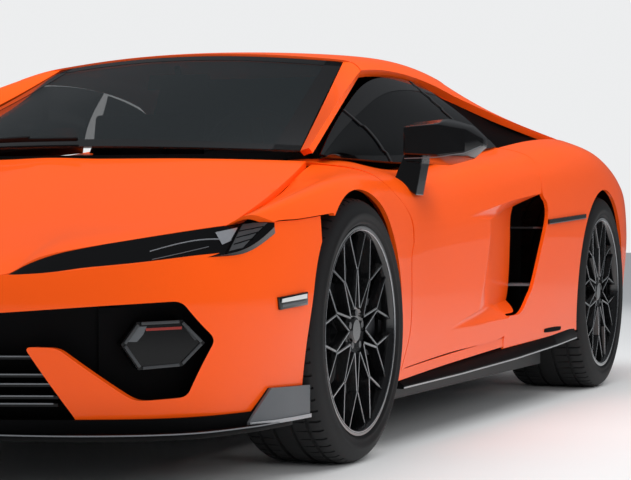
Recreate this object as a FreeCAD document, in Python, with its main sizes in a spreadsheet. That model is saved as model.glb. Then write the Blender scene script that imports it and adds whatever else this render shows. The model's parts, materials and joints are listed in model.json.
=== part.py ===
import FreeCAD, Part
import math
import os

# Mid-engined two-seat supercar, modelled as an assembly of separate pieces in millimetres.
# The nose points to -Y, +X is the car's own left side, +Z is up. The origin lies on the
# ground below the centre of the body.

os.makedirs("parts", exist_ok=True)
doc = FreeCAD.newDocument("supercar")
Vector = FreeCAD.Vector
UP = Vector(0, 0, 1)
ACROSS = Vector(1, 0, 0)
BACK = Vector(0, 1, 0)

# Driving sizes: one row for each size, its alias and its value in millimetres.
SIZES = [
    ("wheelbase", 2658),
    ("front_overhang", 1075),
    ("rear_overhang", 973),
    ("body_width", 1996),
    ("body_height", 1201),
    ("front_track", 1722),
    ("rear_track", 1670),
    ("front_tyre_radius", 343),
    ("rear_tyre_radius", 364),
    ("front_tyre_width", 255),
    ("rear_tyre_width", 324),
    ("front_rim_radius", 271.5),
    ("rear_rim_radius", 284),
    ("rim_wall", 14),
    ("rim_inset", 9),
    ("bead_clearance", 0.3),
    ("spoke_depth", 26),
    ("spoke_inset", 12),
    ("hub_radius", 66),
    ("spoke_count", 10),
    ("front_disc_radius", 205),
    ("rear_disc_radius", 195),
    ("disc_thickness", 34),
    ("disc_gap", 52),
    ("front_arch_clearance", 22),
    ("rear_arch_clearance", 26),
    ("well_clearance", 40),
    ("kingpin_offset", 15),
    ("shut_gap", 5),
    ("skin_thickness", 18),
    ("roof_thickness", 28),
    ("door_thickness", 95),
    ("lid_thickness", 18),
    ("glass_thickness", 5),
    ("floor_height", 118),
    ("floor_thickness", 30),
    ("splitter_thickness", 14),
    ("steering_wheel_radius", 178),
    ("steering_rim_radius", 15),
    ("steering_column_radius", 24),
    ("engine_width", 560),
    ("engine_length", 620),
    ("engine_depth", 560),
    ("arm_radius", 14),
    ("mirror_width", 240),
    ("exhaust_radius", 52),
    ("exhaust_wall", 3),
]
sheet = doc.addObject("Spreadsheet::Sheet", "Sizes")
for row, (alias, value) in enumerate(SIZES, start=1):
    sheet.set(f"A{row}", alias)
    sheet.set(f"B{row}", str(value))
    sheet.setAlias(f"B{row}", alias)
doc.recompute()


def size(alias):
    return float(sheet.get(alias))


# The tables below give places on the body at these sizes; fit() carries them to the
# driving sizes, so that the wheels, the panels and the cabin keep their relation.
DRAWN_FRONT, DRAWN_FRONT_AXLE, DRAWN_REAR_AXLE, DRAWN_REAR = -2353, -1278, 1380, 2353
DRAWN_HALF_WIDTH, DRAWN_HEIGHT = 998, 1201
LENGTH = size("front_overhang") + size("wheelbase") + size("rear_overhang")
FRONT_AXLE = size("front_overhang") - LENGTH / 2
REAR_AXLE = FRONT_AXLE + size("wheelbase")
FRONT_WHEEL = Vector(size("front_track") / 2, FRONT_AXLE, size("front_tyre_radius"))
REAR_WHEEL = Vector(size("rear_track") / 2, REAR_AXLE, size("rear_tyre_radius"))
FRONT_ARCH = size("front_tyre_radius") + size("front_arch_clearance")
REAR_ARCH = size("rear_tyre_radius") + size("rear_arch_clearance")
WIDE = size("body_width") / 2 / DRAWN_HALF_WIDTH
TALL = size("body_height") / DRAWN_HEIGHT
ALONG = [
    (DRAWN_FRONT, -LENGTH / 2),
    (DRAWN_FRONT_AXLE, FRONT_AXLE),
    (DRAWN_REAR_AXLE, REAR_AXLE),
    (DRAWN_REAR, LENGTH / 2),
]


def along(y):
    """Place along the car of a drawn place, by stretches between the ends and the axles."""
    for (low, new_low), (high, new_high) in zip(ALONG, ALONG[1:]):
        if y <= high or high == DRAWN_REAR:
            return new_low + (y - low) * (new_high - new_low) / (high - low)


def fit(x, y, z):
    return Vector(x * WIDE, along(y), z * TALL)


def smooth(table, at):
    """Value at a place in a table of (place, value, ...) rows, on a smooth curve through them."""
    last = len(table) - 1
    k = 0
    while k < last - 1 and at > table[k + 1][0]:
        k += 1
    a, b = table[k], table[k + 1]
    span = b[0] - a[0]
    part = (at - a[0]) / span
    values = []
    for i in range(1, len(a)):
        chord = (b[i] - a[i]) / span
        before = (a[i] - table[k - 1][i]) / (a[0] - table[k - 1][0]) if k else chord
        after = (table[k + 2][i] - b[i]) / (table[k + 2][0] - b[0]) if k + 2 <= last else chord
        start, end = (before + chord) / 2 * span, (chord + after) / 2 * span
        values.append(
            (2 * part**3 - 3 * part**2 + 1) * a[i]
            + (part**3 - 2 * part**2 + part) * start
            + (3 * part**2 - 2 * part**3) * b[i]
            + (part**3 - part**2) * end
        )
    return values


def steps(low, high, count):
    return [low + (high - low) * i / count for i in range(count + 1)]


# Sections of the body's left flank. Each row is a station along the car, then the (x, z)
# of seven lines that run the length of the car.
FLANK_LINES = ["sill", "lower", "middle", "swage", "shoulder", "crest", "inner"]
FLANK = [
    (-1960, (925, 215), (935, 330), (935, 460), (930, 575), (922, 608), (912, 622), (880, 606)),
    (-1640, (975, 215), (985, 330), (988, 460), (984, 590), (968, 650), (935, 692), (850, 658)),
    (-1278, (975, 215), (986, 330), (992, 470), (994, 610), (982, 695), (925, 752), (775, 716)),
    (-900, (955, 209), (962, 330), (965, 470), (962, 620), (945, 705), (885, 766), (732, 812)),
    (-640, (952, 213), (958, 325), (961, 470), (960, 630), (940, 702), (902, 744), (822, 772)),
    (-300, (954, 214), (960, 325), (963, 475), (963, 640), (944, 728), (908, 775), (834, 795)),
    (0, (957, 216), (964, 330), (968, 480), (969, 680), (948, 768), (908, 812), (832, 832)),
    (450, (965, 225), (972, 340), (978, 500), (979, 722), (958, 805), (912, 852), (812, 874)),
    (900, (975, 235), (985, 350), (992, 520), (993, 750), (974, 835), (925, 898), (826, 925)),
    (1380, (985, 235), (992, 360), (998, 540), (998, 760), (980, 850), (935, 908), (835, 946)),
    (1800, (962, 240), (972, 370), (980, 540), (976, 720), (952, 795), (905, 858), (800, 908)),
    (2250, (850, 260), (872, 380), (890, 540), (882, 700), (860, 775), (815, 840), (720, 880)),
]
SWAGE = FLANK_LINES.index("swage")
LOWER = FLANK_LINES.index("lower")
INNER = FLANK_LINES.index("inner")

# The scoop pressed into the door and its mouth: from its front tip to the mouth it grows
# deeper between the lower line and the swage.
SCOOP_TIP, SCOOP_MOUTH, SCOOP_DEPTH = -520, 560, 150


def flank(y, line):
    """Point on the left flank at a drawn station and a place between the named lines."""
    at_station = []
    for i in range(len(FLANK_LINES)):
        column = [(row[0], *row[1 + i]) for row in FLANK]
        at_station.append((i, *smooth(column, y)))
    x, z = smooth(at_station, line)
    return x, z


def scoop(y, line):
    """Depth of the door's scoop at a station and a line."""
    grown = min(max((y - SCOOP_TIP) / (SCOOP_MOUTH - SCOOP_TIP), 0), 1)
    across = min(max((line - LOWER) / (SWAGE - LOWER), 0), 1)
    shape = min(1, across * 2.2) * min(1, (1 - across) * 7)
    return SCOOP_DEPTH * grown**1.3 * shape


# Thick skins. A skin is a grid of points on the outer face and its offset inwards.
def knots(count, degree):
    places = [float(i) for i in range(count - degree + 1)]
    return places, [degree + 1] + [1] * (len(places) - 2) + [degree + 1]


def spline_over(grid):
    """Smooth surface drawn over a grid of control points, so that grids that share an edge meet."""
    along_degree, across_degree = min(3, len(grid) - 1), min(3, len(grid[0]) - 1)
    along_knots, along_times = knots(len(grid), along_degree)
    across_knots, across_times = knots(len(grid[0]), across_degree)
    spline = Part.BSplineSurface()
    spline.buildFromPolesMultsKnots(
        grid, along_times, across_times, along_knots, across_knots,
        False, False, along_degree, across_degree,
    )
    return spline


def normal_at(grid, i, j):
    before, after = grid[max(i - 1, 0)][j], grid[min(i + 1, len(grid) - 1)][j]
    below, above = grid[i][max(j - 1, 0)], grid[i][min(j + 1, len(grid[0]) - 1)]
    return (after - before).cross(above - below).normalize()


def skin(grid, thickness, creases=(), inwards=None, side=-1):
    """Closed solid between a grid of points and its offset, sharp along the crease columns.

    The offset goes against the grid's normal, or along it where side is 1."""
    inner = []
    for i, row in enumerate(grid):
        inner.append([])
        for j, point in enumerate(row):
            away = inwards or normal_at(grid, i, j) * side
            inner[-1].append(point + away * thickness)
    bounds = [0, *creases, len(grid[0]) - 1]
    faces = []
    for low, high in zip(bounds, bounds[1:]):
        outside = spline_over([row[low:high + 1] for row in grid])
        inside = spline_over([row[low:high + 1] for row in inner])
        u_first, u_last, v_first, v_last = outside.bounds()
        rim = [(outside.uIso(u_first), inside.uIso(u_first))]
        rim.append((outside.uIso(u_last), inside.uIso(u_last)))
        if low == 0:
            rim.append((outside.vIso(v_first), inside.vIso(v_first)))
        if high == bounds[-1]:
            rim.append((outside.vIso(v_last), inside.vIso(v_last)))
        faces += [outside.toShape(), inside.toShape()]
        faces += [Part.makeRuledSurface(a.toShape(), b.toShape()) for a, b in rim]
    shell = Part.makeCompound(faces)
    shell.sewShape(0.05)
    solid = Part.makeSolid(shell.Shells[0] if shell.Shells else shell)
    if solid.Volume < 0:
        solid.reverse()
    return solid


def mirrored(shape):
    return shape.mirror(Vector(0, 0, 0), ACROSS)


def outline_wire(points):
    """Closed wire through points; a point given as (middle, end) is an arc through both."""
    edges = []
    here = points[0]
    for point in points[1:] + points[:1]:
        if isinstance(point, tuple):
            edges.append(Part.Arc(here, point[0], point[1]).toShape())
            here = point[1]
        elif (point - here).Length > 0.01:
            edges.append(Part.LineSegment(here, point).toShape())
            here = point
    return Part.Wire(edges)


def prism(points, direction):
    return Part.Face(outline_wire(points)).extrude(direction)


def side_outline(places, depth=1200, start=300):
    """Prism through the left side of the car over an outline of (y, z) places."""
    points = []
    for place in places:
        if len(place) == 4:
            points.append((Vector(start, place[0], place[1]), Vector(start, place[2], place[3])))
        else:
            points.append(Vector(start, place[0], place[1]))
    return prism(points, Vector(depth, 0, 0))


def wheel_space(centre, radius, inner, outer):
    space = Part.makeCylinder(radius, outer - inner, Vector(inner, centre.y, centre.z), ACROSS)
    return space


def add_feature(name, shape):
    node = doc.addObject("Part::Feature", name)
    node.Label = name
    node.Shape = shape
    node.Placement = FreeCAD.Placement()
    return node


def add_pair(name, left_shape):
    """A left piece and its mirror image on the right."""
    add_feature(f"{name}_left", left_shape)
    add_feature(f"{name}_right", mirrored(left_shape))


def both_sides(left_shape):
    return Part.makeCompound([left_shape, mirrored(left_shape)])


def flank_grid(stations, lines, depth=None):
    grid = []
    for y in stations:
        row = []
        for line in lines:
            x, z = flank(y, line)
            row.append(fit(x - (depth(y, line) if depth else 0), y, z))
        grid.append(row)
    return grid


def flank_place(y, z):
    return (along(y), z * TALL)


# Shut lines of the left side as drawn (y, z) places, front to back and top to bottom.
DOOR_FRONT = [(-1052, 850), (-1004, 748), (-834, 649), (-807, 574), (-829, 518), (-829, 330), (-900, 212)]
DOOR_FOOT = [(-445, 232), (120, 252), (330, 300)]
DOOR_REAR = [(372, 345), (388, 490), (410, 669), (590, 740), (600, 900)]
NOSE_TO_ARCH = [(-1990, 612), (-1885, 622), (-1500, 645)]

WELL_INNER = 565 * WIDE
FAR_OUT = 1100 * WIDE
front_arch_space = wheel_space(FRONT_WHEEL, FRONT_ARCH, WELL_INNER, FAR_OUT)
rear_arch_space = wheel_space(REAR_WHEEL, REAR_ARCH, WELL_INNER, FAR_OUT)
front_well_space = wheel_space(
    FRONT_WHEEL, size("front_tyre_radius") + size("well_clearance"), WELL_INNER, 945 * WIDE
)
rear_well_space = wheel_space(
    REAR_WHEEL, size("rear_tyre_radius") + size("well_clearance"), WELL_INNER, 950 * WIDE
)
FRONT_SPACES = [front_arch_space, front_well_space]
REAR_SPACES = [rear_arch_space, rear_well_space]


def cut_all(shape, tools):
    for tool in tools:
        shape = shape.cut(tool)
    return shape


def solid_of(shape):
    """The largest solid of a trimmed shape."""
    return max(shape.Solids, key=lambda solid: solid.Volume)


gap = size("shut_gap")


def clear_of(shape, mover, ways):
    """Cut a shape back so that a moving piece has a gap on the ways named."""
    for way in ways:
        moved = mover.copy()
        moved.translate(way * gap)
        shape = shape.cut(moved)
    return shape


# Front fender: from the headlamp over the wheel to the door.
SKIN_INWARDS = Vector(-0.75, 0, -0.66)
fender_skin = skin(
    flank_grid([-1990, -1880, -1760, -1640, -1460, -1278, -1100, -900, -790],
               [0, 0.5, 1, 1.5, 2, 2.5, 3, 3.5, 4, 4.5, 5, 5.5, 6]),
    size("skin_thickness"), (), SKIN_INWARDS,
)
fender_outline = [flank_place(y, z) for y, z in NOSE_TO_ARCH + [(-1278, 400), (-938, 205)]]
fender_outline += [flank_place(y, z) for y, z in reversed(DOOR_FRONT)]
fender_outline += [flank_place(-1052, 1000), flank_place(-1990, 1000)]
fender_raw = solid_of(cut_all(fender_skin.common(side_outline(fender_outline)), FRONT_SPACES))

# Door: the whole thickness from the outer skin to the inner trim, with its scoop.
door_skin = skin(
    flank_grid(steps(-1052, 640, 12), [0, 0.5, 1, 1.25, 1.5, 2, 2.5, 2.85, 3, 3.5, 4, 4.5, 5, 5.5, 6], scoop),
    size("door_thickness"), (2, 8), Vector(-1, 0, 0),
)


def moved_in(places, amount, inward):
    return [(y + inward * amount, z) for y, z in places]


door_outline = [flank_place(y, z) for y, z in moved_in(DOOR_FRONT, gap, 1)]
door_outline += [flank_place(y, z + gap) for y, z in DOOR_FOOT]
door_outline += [flank_place(y, z) for y, z in moved_in(DOOR_REAR, gap, -1)]
door_outline += [flank_place(590, 1000), flank_place(-1047, 1000)]
door_panel = solid_of(door_skin.common(side_outline(door_outline)))
add_pair("door_panel", door_panel)

# Quarter: the rear haunch, from the intake mouth over the rear wheel to the tail.
quarter_skin = skin(
    flank_grid([300, 450, 650, 850, 1050, 1250, 1450, 1650, 1850, 2050, 2240],
               [0, 0.5, 1, 1.5, 2, 2.5, 3, 3.5, 4, 4.5, 5, 5.5, 6]),
    size("skin_thickness"), (), SKIN_INWARDS,
)
INTAKE_REAR = [(520, 300), (560, 360), (690, 500), (760, 640), (735, 700), (640, 745), (604, 760), (604, 1000)]
quarter_outline = [flank_place(y, z) for y, z in [(340, 215)] + [(340, 290)] + INTAKE_REAR]
quarter_outline += [flank_place(y, z) for y, z in [(2240, 1000), (2240, 250), (1760, 250), (990, 235)]]
quarter = solid_of(cut_all(quarter_skin.common(side_outline(quarter_outline)), REAR_SPACES))
add_pair("quarter", quarter)

# Side skirt: the black blade below the doors, standing a little proud of the sill.
SKIRT = [
    (-905, (880, 168), (965, 166), (968, 178), (950, 205), (880, 205)),
    (-400, (880, 172), (972, 170), (976, 182), (955, 222), (880, 222)),
    (200, (880, 182), (978, 180), (982, 192), (962, 240), (880, 240)),
    (700, (880, 196), (984, 196), (988, 208), (970, 262), (880, 262)),
    (985, (880, 206), (984, 208), (988, 220), (975, 268), (880, 268)),
]


def loft_sections(table):
    wires = []
    for y, *places in table:
        corners = [fit(x, y, z) for x, z in places]
        wires.append(Part.makePolygon(corners + corners[:1]))
    return Part.makeLoft(wires, True, True)


SILL_GAP = 4
skirt = loft_sections([(y, *[(x, z - SILL_GAP) for x, z in places]) for y, *places in SKIRT])
skirt = cut_all(skirt, FRONT_SPACES + REAR_SPACES + [quarter, fender_raw])
add_feature("side_skirts", both_sides(solid_of(skirt)))

# Side intake: the black inner wall of the duct behind the scoop, with its blade.
DUCT_WALL = [(798, 418), (822, 418), (772, 900), (748, 900)]
DUCT_LOW, DUCT_HIGH = 300, 735
DUCT_BLADE = [(800, 440), (925, 560), (925, 720), (765, 720)]
BLADE_LOW, BLADE_HIGH = 500, 513


def plan_prism(places, low, high):
    points = [fit(x, y, low) for x, y in places]
    return prism(points, UP * (high - low) * TALL)


intake = plan_prism(DUCT_WALL, DUCT_LOW, DUCT_HIGH).fuse(plan_prism(DUCT_BLADE, BLADE_LOW, BLADE_HIGH))
door_space = side_outline(door_outline)
door_space.translate(BACK * 2 * gap)
intake = solid_of(intake.cut(door_space))
add_feature("side_intakes", both_sides(intake))

# Front bumper: levels of the nose from the lower lip to the top edge, each at stations
# from the middle of the car round to the wheel arch, in plan (x, y).
NOSE_PLAN = [(0, -2360), (250, -2347), (450, -2300), (700, -2205), (870, -2085), (950, -1900), (985, -1700), (988, -1560)]
NOSE_TOP = [505, 505, 508, 536, 566, 606, 632, 644]
NOSE_LEVELS = [(0, 165, 48), (1, 235, 30), (2, 330, 12), (3, 430, 0), (4, 480, 3)]


def nose_normal(k):
    before, after = NOSE_PLAN[max(k - 1, 0)], NOSE_PLAN[min(k + 1, len(NOSE_PLAN) - 1)]
    direction = Vector(after[0] - before[0], after[1] - before[1], 0)
    return Vector(-direction.y, direction.x, 0).normalize() if k else Vector(0, 1, 0)


def nose_point(k, z, lean):
    x, y = NOSE_PLAN[k]
    inward = nose_normal(k) * lean
    return fit(x + inward.x, y + inward.y, z)


def nose_grid(levels, top_lean=26):
    half = []
    for k in range(len(NOSE_PLAN)):
        row = [nose_point(k, z, lean) for _, z, lean in levels]
        row.append(nose_point(k, NOSE_TOP[k], top_lean))
        half.append(row)
    mirror_half = [[Vector(-p.x, p.y, p.z) for p in row] for row in reversed(half[1:])]
    return mirror_half + half


def front_prism(places, shift=0):
    points = [Vector(x * WIDE + shift, along(-2500), z * TALL) for x, z in places]
    return prism(points, Vector(0, 700, 0))


# The black opening of the nose round each side's orange fang.
NOSE_OPENING = [
    (0, 176), (662, 180), (556, 343), (630, 340), (760, 229), (850, 240), (884, 368), (832, 448), (690, 434), (0, 414),
]
opening = front_prism(NOSE_OPENING)
bumper_skin = skin(nose_grid(NOSE_LEVELS), size("skin_thickness"))
bumper = cut_all(bumper_skin, [opening, mirrored(opening)])
bumper_raw = cut_all(bumper, FRONT_SPACES + [mirrored(space) for space in FRONT_SPACES])

# Front splitter: a flat blade that follows the nose in plan.
splitter_places = [(0, -2310), (300, -2298), (640, -2235), (850, -2100), (930, -1900), (955, -1720), (955, -1690), (560, -1690)]
splitter_points = [fit(x, y, 150) for x, y in splitter_places]
splitter_points += [Vector(-p.x, p.y, p.z) for p in reversed(splitter_points[1:])]
splitter = prism(splitter_points, UP * -size("splitter_thickness"))
add_feature("front_splitter", splitter)

# Grille: the black back of the nose opening with slats in the middle.
GRILLE_BACK = 70
grille_rows = []
for k in range(len(NOSE_PLAN) - 3):
    grille_rows.append([nose_point(k, z, lean + GRILLE_BACK) for z, lean in [(170, 40), (250, 26), (340, 10), (460, 0)]])
grille_rows = [[Vector(-p.x, p.y, p.z) for p in row] for row in reversed(grille_rows[1:])] + grille_rows
grille_back = skin(grille_rows, 12)
slats = []
for z in (200, 235, 270, 305):
    slats.append(Part.makeBox(900 * WIDE, 40, 8, Vector(-450 * WIDE, along(-2353) + GRILLE_BACK - 15, z * TALL)))
grille = grille_back.fuse(slats)

# Corner lamps: a hexagonal body in each outer opening, square to the nose there.
LAMP_MIDDLE = (803, -2090, 348)
LAMP_DEPTH = 60
HEXAGON = [(-96, 0), (-60, 50), (44, 54), (96, 2), (44, -50), (-56, -57)]
lamp_along = Vector(0.783, 0.622, 0)
lamp_inwards = Vector(-0.622, 0.783, 0)
lamp_points = [fit(*LAMP_MIDDLE) + lamp_along * u + UP * v for u, v in HEXAGON]
corner_lamp = prism(lamp_points, lamp_inwards * LAMP_DEPTH)
add_feature("corner_lamps", both_sides(corner_lamp))
add_feature("front_grille", solid_of(cut_all(grille, [corner_lamp, mirrored(corner_lamp)])))

# Bonnet: the lid between the fenders, from the nose to the windscreen. Heights in rows
# along the car: the middle, the crease and the edge, with the crease's and the edge's x.
BONNET = [
    (-2300, 506, 250, 505, 500, 508),
    (-2200, 542, 330, 534, 610, 548),
    (-2050, 586, 390, 574, 790, 588),
    (-1900, 622, 330, 603, 888, 616),
    (-1640, 690, 240, 672, 850, 668),
    (-1278, 776, 110, 768, 775, 732),
    (-1040, 840, 50, 834, 735, 790),
]
# Its columns from the middle to the edge: front (x, y) on the nose line and along the
# headlamp, rear (x, y) along the windscreen.
BONNET_COLUMNS = [
    ((0, -2302), (0, -1166)),
    ((160, -2298), (130, -1162)),
    ((320, -2280), (270, -1150)),
    ((480, -2232), (400, -1130)),
    ((640, -2140), (520, -1103)),
    ((770, -2035), (640, -1070)),
    ((884, -1880), (733, -1038)),
]


def bonnet_height(x, y):
    middle_z, crease_x, crease_z, edge_x, edge_z = smooth(BONNET, y)
    if x < crease_x:
        return middle_z + (crease_z - middle_z) * x / crease_x
    part = min((x - crease_x) / (edge_x - crease_x), 1)
    return crease_z + (edge_z - crease_z) * part + 10 * math.sin(math.pi * part)


def bonnet_half_row(share):
    row = []
    for k, (front, rear) in enumerate(BONNET_COLUMNS):
        y = front[1] + (rear[1] - front[1]) * share
        x = front[0] + (rear[0] - front[0]) * share
        edge_front, edge_rear = BONNET_COLUMNS[-1]
        edge_y = edge_front[1] + (edge_rear[1] - edge_front[1]) * share
        edge_x = edge_front[0] + (edge_rear[0] - edge_front[0]) * share
        wanted = flank(edge_y, INNER)[0] - gap
        x *= 1 + (wanted / edge_x - 1) * k / (len(BONNET_COLUMNS) - 1)
        row.append(fit(x, y, bonnet_height(x, y)))
    return row


bonnet_half = [bonnet_half_row(share) for share in steps(0, 1, 8)]
bonnet_grid = [[Vector(-p.x, p.y, p.z) for p in reversed(row[1:])] + row for row in bonnet_half]
front_lid = skin(bonnet_grid, size("lid_thickness"), (), UP * -1)
add_feature("front_lid", front_lid)


AHEAD_OF_LID = [Vector(0, 0, 0), BACK * -1]
BESIDE_LID = [Vector(0, 0, 0), ACROSS]
AROUND_LID = [Vector(0, 0, 0), ACROSS, BACK * -1]

# Headlamps: a slim wedge between the bonnet and the bumper.
HEADLAMP = [
    ((505, -2262, 506), (500, -2225, 512)),
    ((700, -2172, 534), (668, -2118, 566)),
    ((862, -2052, 562), (815, -1990, 596)),
    ((938, -1916, 602), (884, -1872, 614)),
]
lamp_grid = []
for low, high in HEADLAMP:
    lamp_grid.append([fit(*low), fit(*[(a + b) / 2 for a, b in zip(low, high)]), fit(*high)])
headlamp = skin(lamp_grid, 40, (), Vector(0, 0.8, -0.6))
headlamp = solid_of(clear_of(headlamp, front_lid, AROUND_LID))
add_feature("headlamps", both_sides(headlamp))
bumper = cut_all(clear_of(bumper_raw, front_lid, AHEAD_OF_LID), [headlamp, mirrored(headlamp)])
bumper = solid_of(bumper)
add_feature("front_bumper", bumper)
fender = clear_of(fender_raw, front_lid, BESIDE_LID).cut(headlamp).cut(bumper)
fender = solid_of(fender)
add_pair("fender", fender)

# Windscreen: a curved pane between the pillars.
SCREEN = [
    ((0, -1150, 838), (350, -1100, 834), (694, -1000, 822)),
    ((0, -830, 955), (320, -795, 945), (605, -700, 896)),
    ((0, -540, 1060), (290, -510, 1048), (548, -420, 1018)),
    ((0, -235, 1168), (270, -220, 1158), (508, -170, 1136)),
]


def mirrored_rows(rows):
    return [[fit(-x, y, z) for x, y, z in reversed(row[1:])] + [fit(*p) for p in row] for row in rows]


screen_grid = mirrored_rows(SCREEN)
windscreen = skin(screen_grid, size("glass_thickness"), side=1)

# Roof shell: the roof skin with the pillars that run from the cowl to the haunches.
ROOF = [
    ((0, -215, 1176), (270, -202, 1167), (508, -152, 1146), (560, -190, 1134), (606, -270, 1100)),
    ((0, 60, 1213), (270, 60, 1207), (505, 60, 1188), (566, 60, 1166), (606, 20, 1134)),
    ((0, 420, 1211), (270, 420, 1206), (498, 420, 1193), (560, 420, 1170), (606, 380, 1116)),
    ((0, 700, 1170), (270, 700, 1168), (496, 700, 1160), (566, 690, 1140), (628, 640, 1072)),
]
roof_grid = mirrored_rows(ROOF)
roof = skin(roof_grid, size("roof_thickness"), side=1)
PILLAR = [
    ((696, -1003, 820), (722, -1030, 826), (744, -1056, 826)),
    ((612, -700, 900), (660, -735, 925), (700, -790, 932)),
    ((556, -420, 1022), (606, -460, 1036), (650, -532, 1022)),
    ((508, -160, 1142), (560, -195, 1132), (606, -275, 1098)),
]
pillar = skin([[fit(*p) for p in row] for row in PILLAR], size("skin_thickness"), side=1)
BUTTRESS = [
    ((496, 690, 1160), (566, 680, 1140), (628, 632, 1074)),
    ((520, 900, 1110), (600, 890, 1085), (672, 850, 1035)),
    ((560, 1100, 1050), (660, 1080, 1030), (740, 1040, 995)),
    ((606, 1320, 998), (720, 1310, 982), (818, 1300, 950)),
    ((650, 1500, 962), (740, 1500, 956), (820, 1500, 938)),
    ((692, 1800, 928), (745, 1800, 922), (788, 1800, 905)),
    ((706, 2150, 903), (714, 2150, 899), (724, 2150, 890)),
]
buttress = skin([[fit(*p) for p in row] for row in BUTTRESS], size("roof_thickness"), side=1)
roof_shell = roof
for piece in (pillar, mirrored(pillar), buttress, mirrored(buttress)):
    roof_shell = roof_shell.fuse(piece)
add_feature("roof_shell", roof_shell)
add_feature("windscreen", solid_of(windscreen.cut(roof_shell)))

# Side glass: from the belt of the door up to the roof rail.
GLASS = [
    ((-1008, 758, 802), (-1004, 756, 810)),
    ((-800, 786, 806), (-786, 704, 894)),
    ((-520, 826, 793), (-524, 660, 986)),
    ((-100, 832, 828), (-205, 606, 1090)),
    ((300, 820, 868), (85, 604, 1104)),
    ((540, 808, 888), (318, 604, 1094)),
]
GLASS_BULGE = 22
glass_grid = []
for low, high in GLASS:
    row = []
    for share in steps(0, 1, 4):
        y, x, z = [a + (b - a) * share for a, b in zip(low, high)]
        row.append(fit(x + GLASS_BULGE * math.sin(math.pi * share), y, z))
    glass_grid.append(row)
add_pair("door_glass", skin(glass_grid, size("glass_thickness"), (), Vector(-0.8, 0, -0.6)))

# Door mirror: a faceted head on a foot that stands on the door.
MIRROR = [
    (890, (-700, 812), (-600, 800), (-560, 850), (-610, 900), (-700, 890)),
    (1010, (-705, 806), (-600, 792), (-555, 850), (-610, 902), (-705, 886)),
    (1080, (-680, 815), (-610, 806), (-575, 845), (-615, 880), (-680, 872)),
    (1123, (-645, 838), (-620, 834), (-605, 846), (-620, 858), (-645, 856)),
]


def loft_across(table):
    wires = []
    for x, *places in table:
        corners = [fit(x, y, z) for y, z in places]
        wires.append(Part.makePolygon(corners + corners[:1]))
    return Part.makeLoft(wires, True, True)


mirror_head = loft_across(MIRROR)
foot_low = [fit(875, -760, 757), fit(945, -760, 737), fit(945, -690, 737), fit(875, -690, 757)]
foot_high = [fit(895, -700, 830), fit(940, -700, 830), fit(940, -620, 830), fit(895, -620, 830)]
foot = Part.makeLoft([Part.makePolygon(foot_low + foot_low[:1]), Part.makePolygon(foot_high + foot_high[:1])], True, True)
mirror_shape = mirror_head.fuse(foot).cut(door_panel)
add_pair("door_mirror", solid_of(mirror_shape))

# Engine lid: from behind the roof to the tail.
DECK = [
    ((0, 712, 1168), (250, 712, 1165), (476, 712, 1150)),
    ((0, 1100, 1100), (250, 1100, 1090), (535, 1100, 1030)),
    ((0, 1500, 1020), (280, 1500, 1010), (624, 1500, 965)),
    ((0, 1900, 955), (300, 1900, 950), (679, 1900, 915)),
    ((0, 2180, 930), (300, 2180, 928), (689, 2140, 900)),
]
add_feature("engine_lid", skin(mirrored_rows(DECK), size("lid_thickness"), (), UP * -1))

# Rear bumper: the tail panel with its corners.
TAIL = [
    ((0, 2358, 905), (400, 2344, 905), (700, 2270, 895), (790, 2200, 880)),
    ((0, 2320, 860), (400, 2310, 860), (720, 2255, 850), (850, 2190, 800)),
    ((0, 2300, 640), (400, 2290, 640), (740, 2240, 640), (880, 2170, 640)),
    ((0, 2290, 450), (400, 2280, 450), (730, 2230, 450), (870, 2170, 450)),
]
tail_grid = [list(column) for column in zip(*mirrored_rows(TAIL))]
tail = skin(tail_grid, size("skin_thickness"), (), Vector(0, -1, 0))

# Rear diffuser: a floor that rises to the tail, with upright fins.
ramp = prism([Vector(-600 * WIDE, along(1700), 150), Vector(-600 * WIDE, along(2320), 330),
              Vector(-600 * WIDE, along(2320), 350), Vector(-600 * WIDE, along(1700), 170)], Vector(1200 * WIDE, 0, 0))
fins = []
for x in (-520, -260, 0, 260, 520):
    fins.append(prism([Vector(x * WIDE - 6, along(1800), 165), Vector(x * WIDE - 6, along(2330), 190),
                       Vector(x * WIDE - 6, along(2330), 345), Vector(x * WIDE - 6, along(1800), 190)], Vector(12, 0, 0)))
add_feature("rear_diffuser", solid_of(ramp.fuse(fins)))

# Tail lamps: hexagons like the corner lamps.
TAIL_LAMP = [(560, 745), (600, 795), (760, 795), (800, 745), (760, 700), (600, 700)]
tail_points = [Vector(x * WIDE, along(2262), z * TALL) for x, z in TAIL_LAMP]
tail_lamp = prism(tail_points, Vector(0, 50, 0))
add_feature("tail_lamps", both_sides(tail_lamp))

# Exhaust: two pipes side by side in the middle of the tail, through holes of their own.
PIPE_OUT, PIPE_HEIGHT, PIPE_START, PIPE_LENGTH = 70, 640, 2120, 220
pipes, pipe_holes = [], []
for x in (-PIPE_OUT, PIPE_OUT):
    start = Vector(x, along(PIPE_START), PIPE_HEIGHT * TALL)
    outer = Part.makeCylinder(size("exhaust_radius"), PIPE_LENGTH, start, BACK)
    inner = Part.makeCylinder(size("exhaust_radius") - size("exhaust_wall"), PIPE_LENGTH, start + BACK * 30, BACK)
    pipes.append(outer.cut(inner))
    pipe_holes.append(Part.makeCylinder(size("exhaust_radius") + size("bead_clearance"), 400, start, BACK))
add_feature("exhaust_pipes", Part.makeCompound(pipes))
tail_cuts = [tail_lamp, mirrored(tail_lamp), quarter, mirrored(quarter)]
add_feature("rear_bumper", solid_of(cut_all(tail, tail_cuts + pipe_holes)))

# Tub: floor, sills, bulkheads and the side members that carry the suspension.
floor_low = size("floor_height")
floor_high = floor_low + size("floor_thickness")


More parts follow.
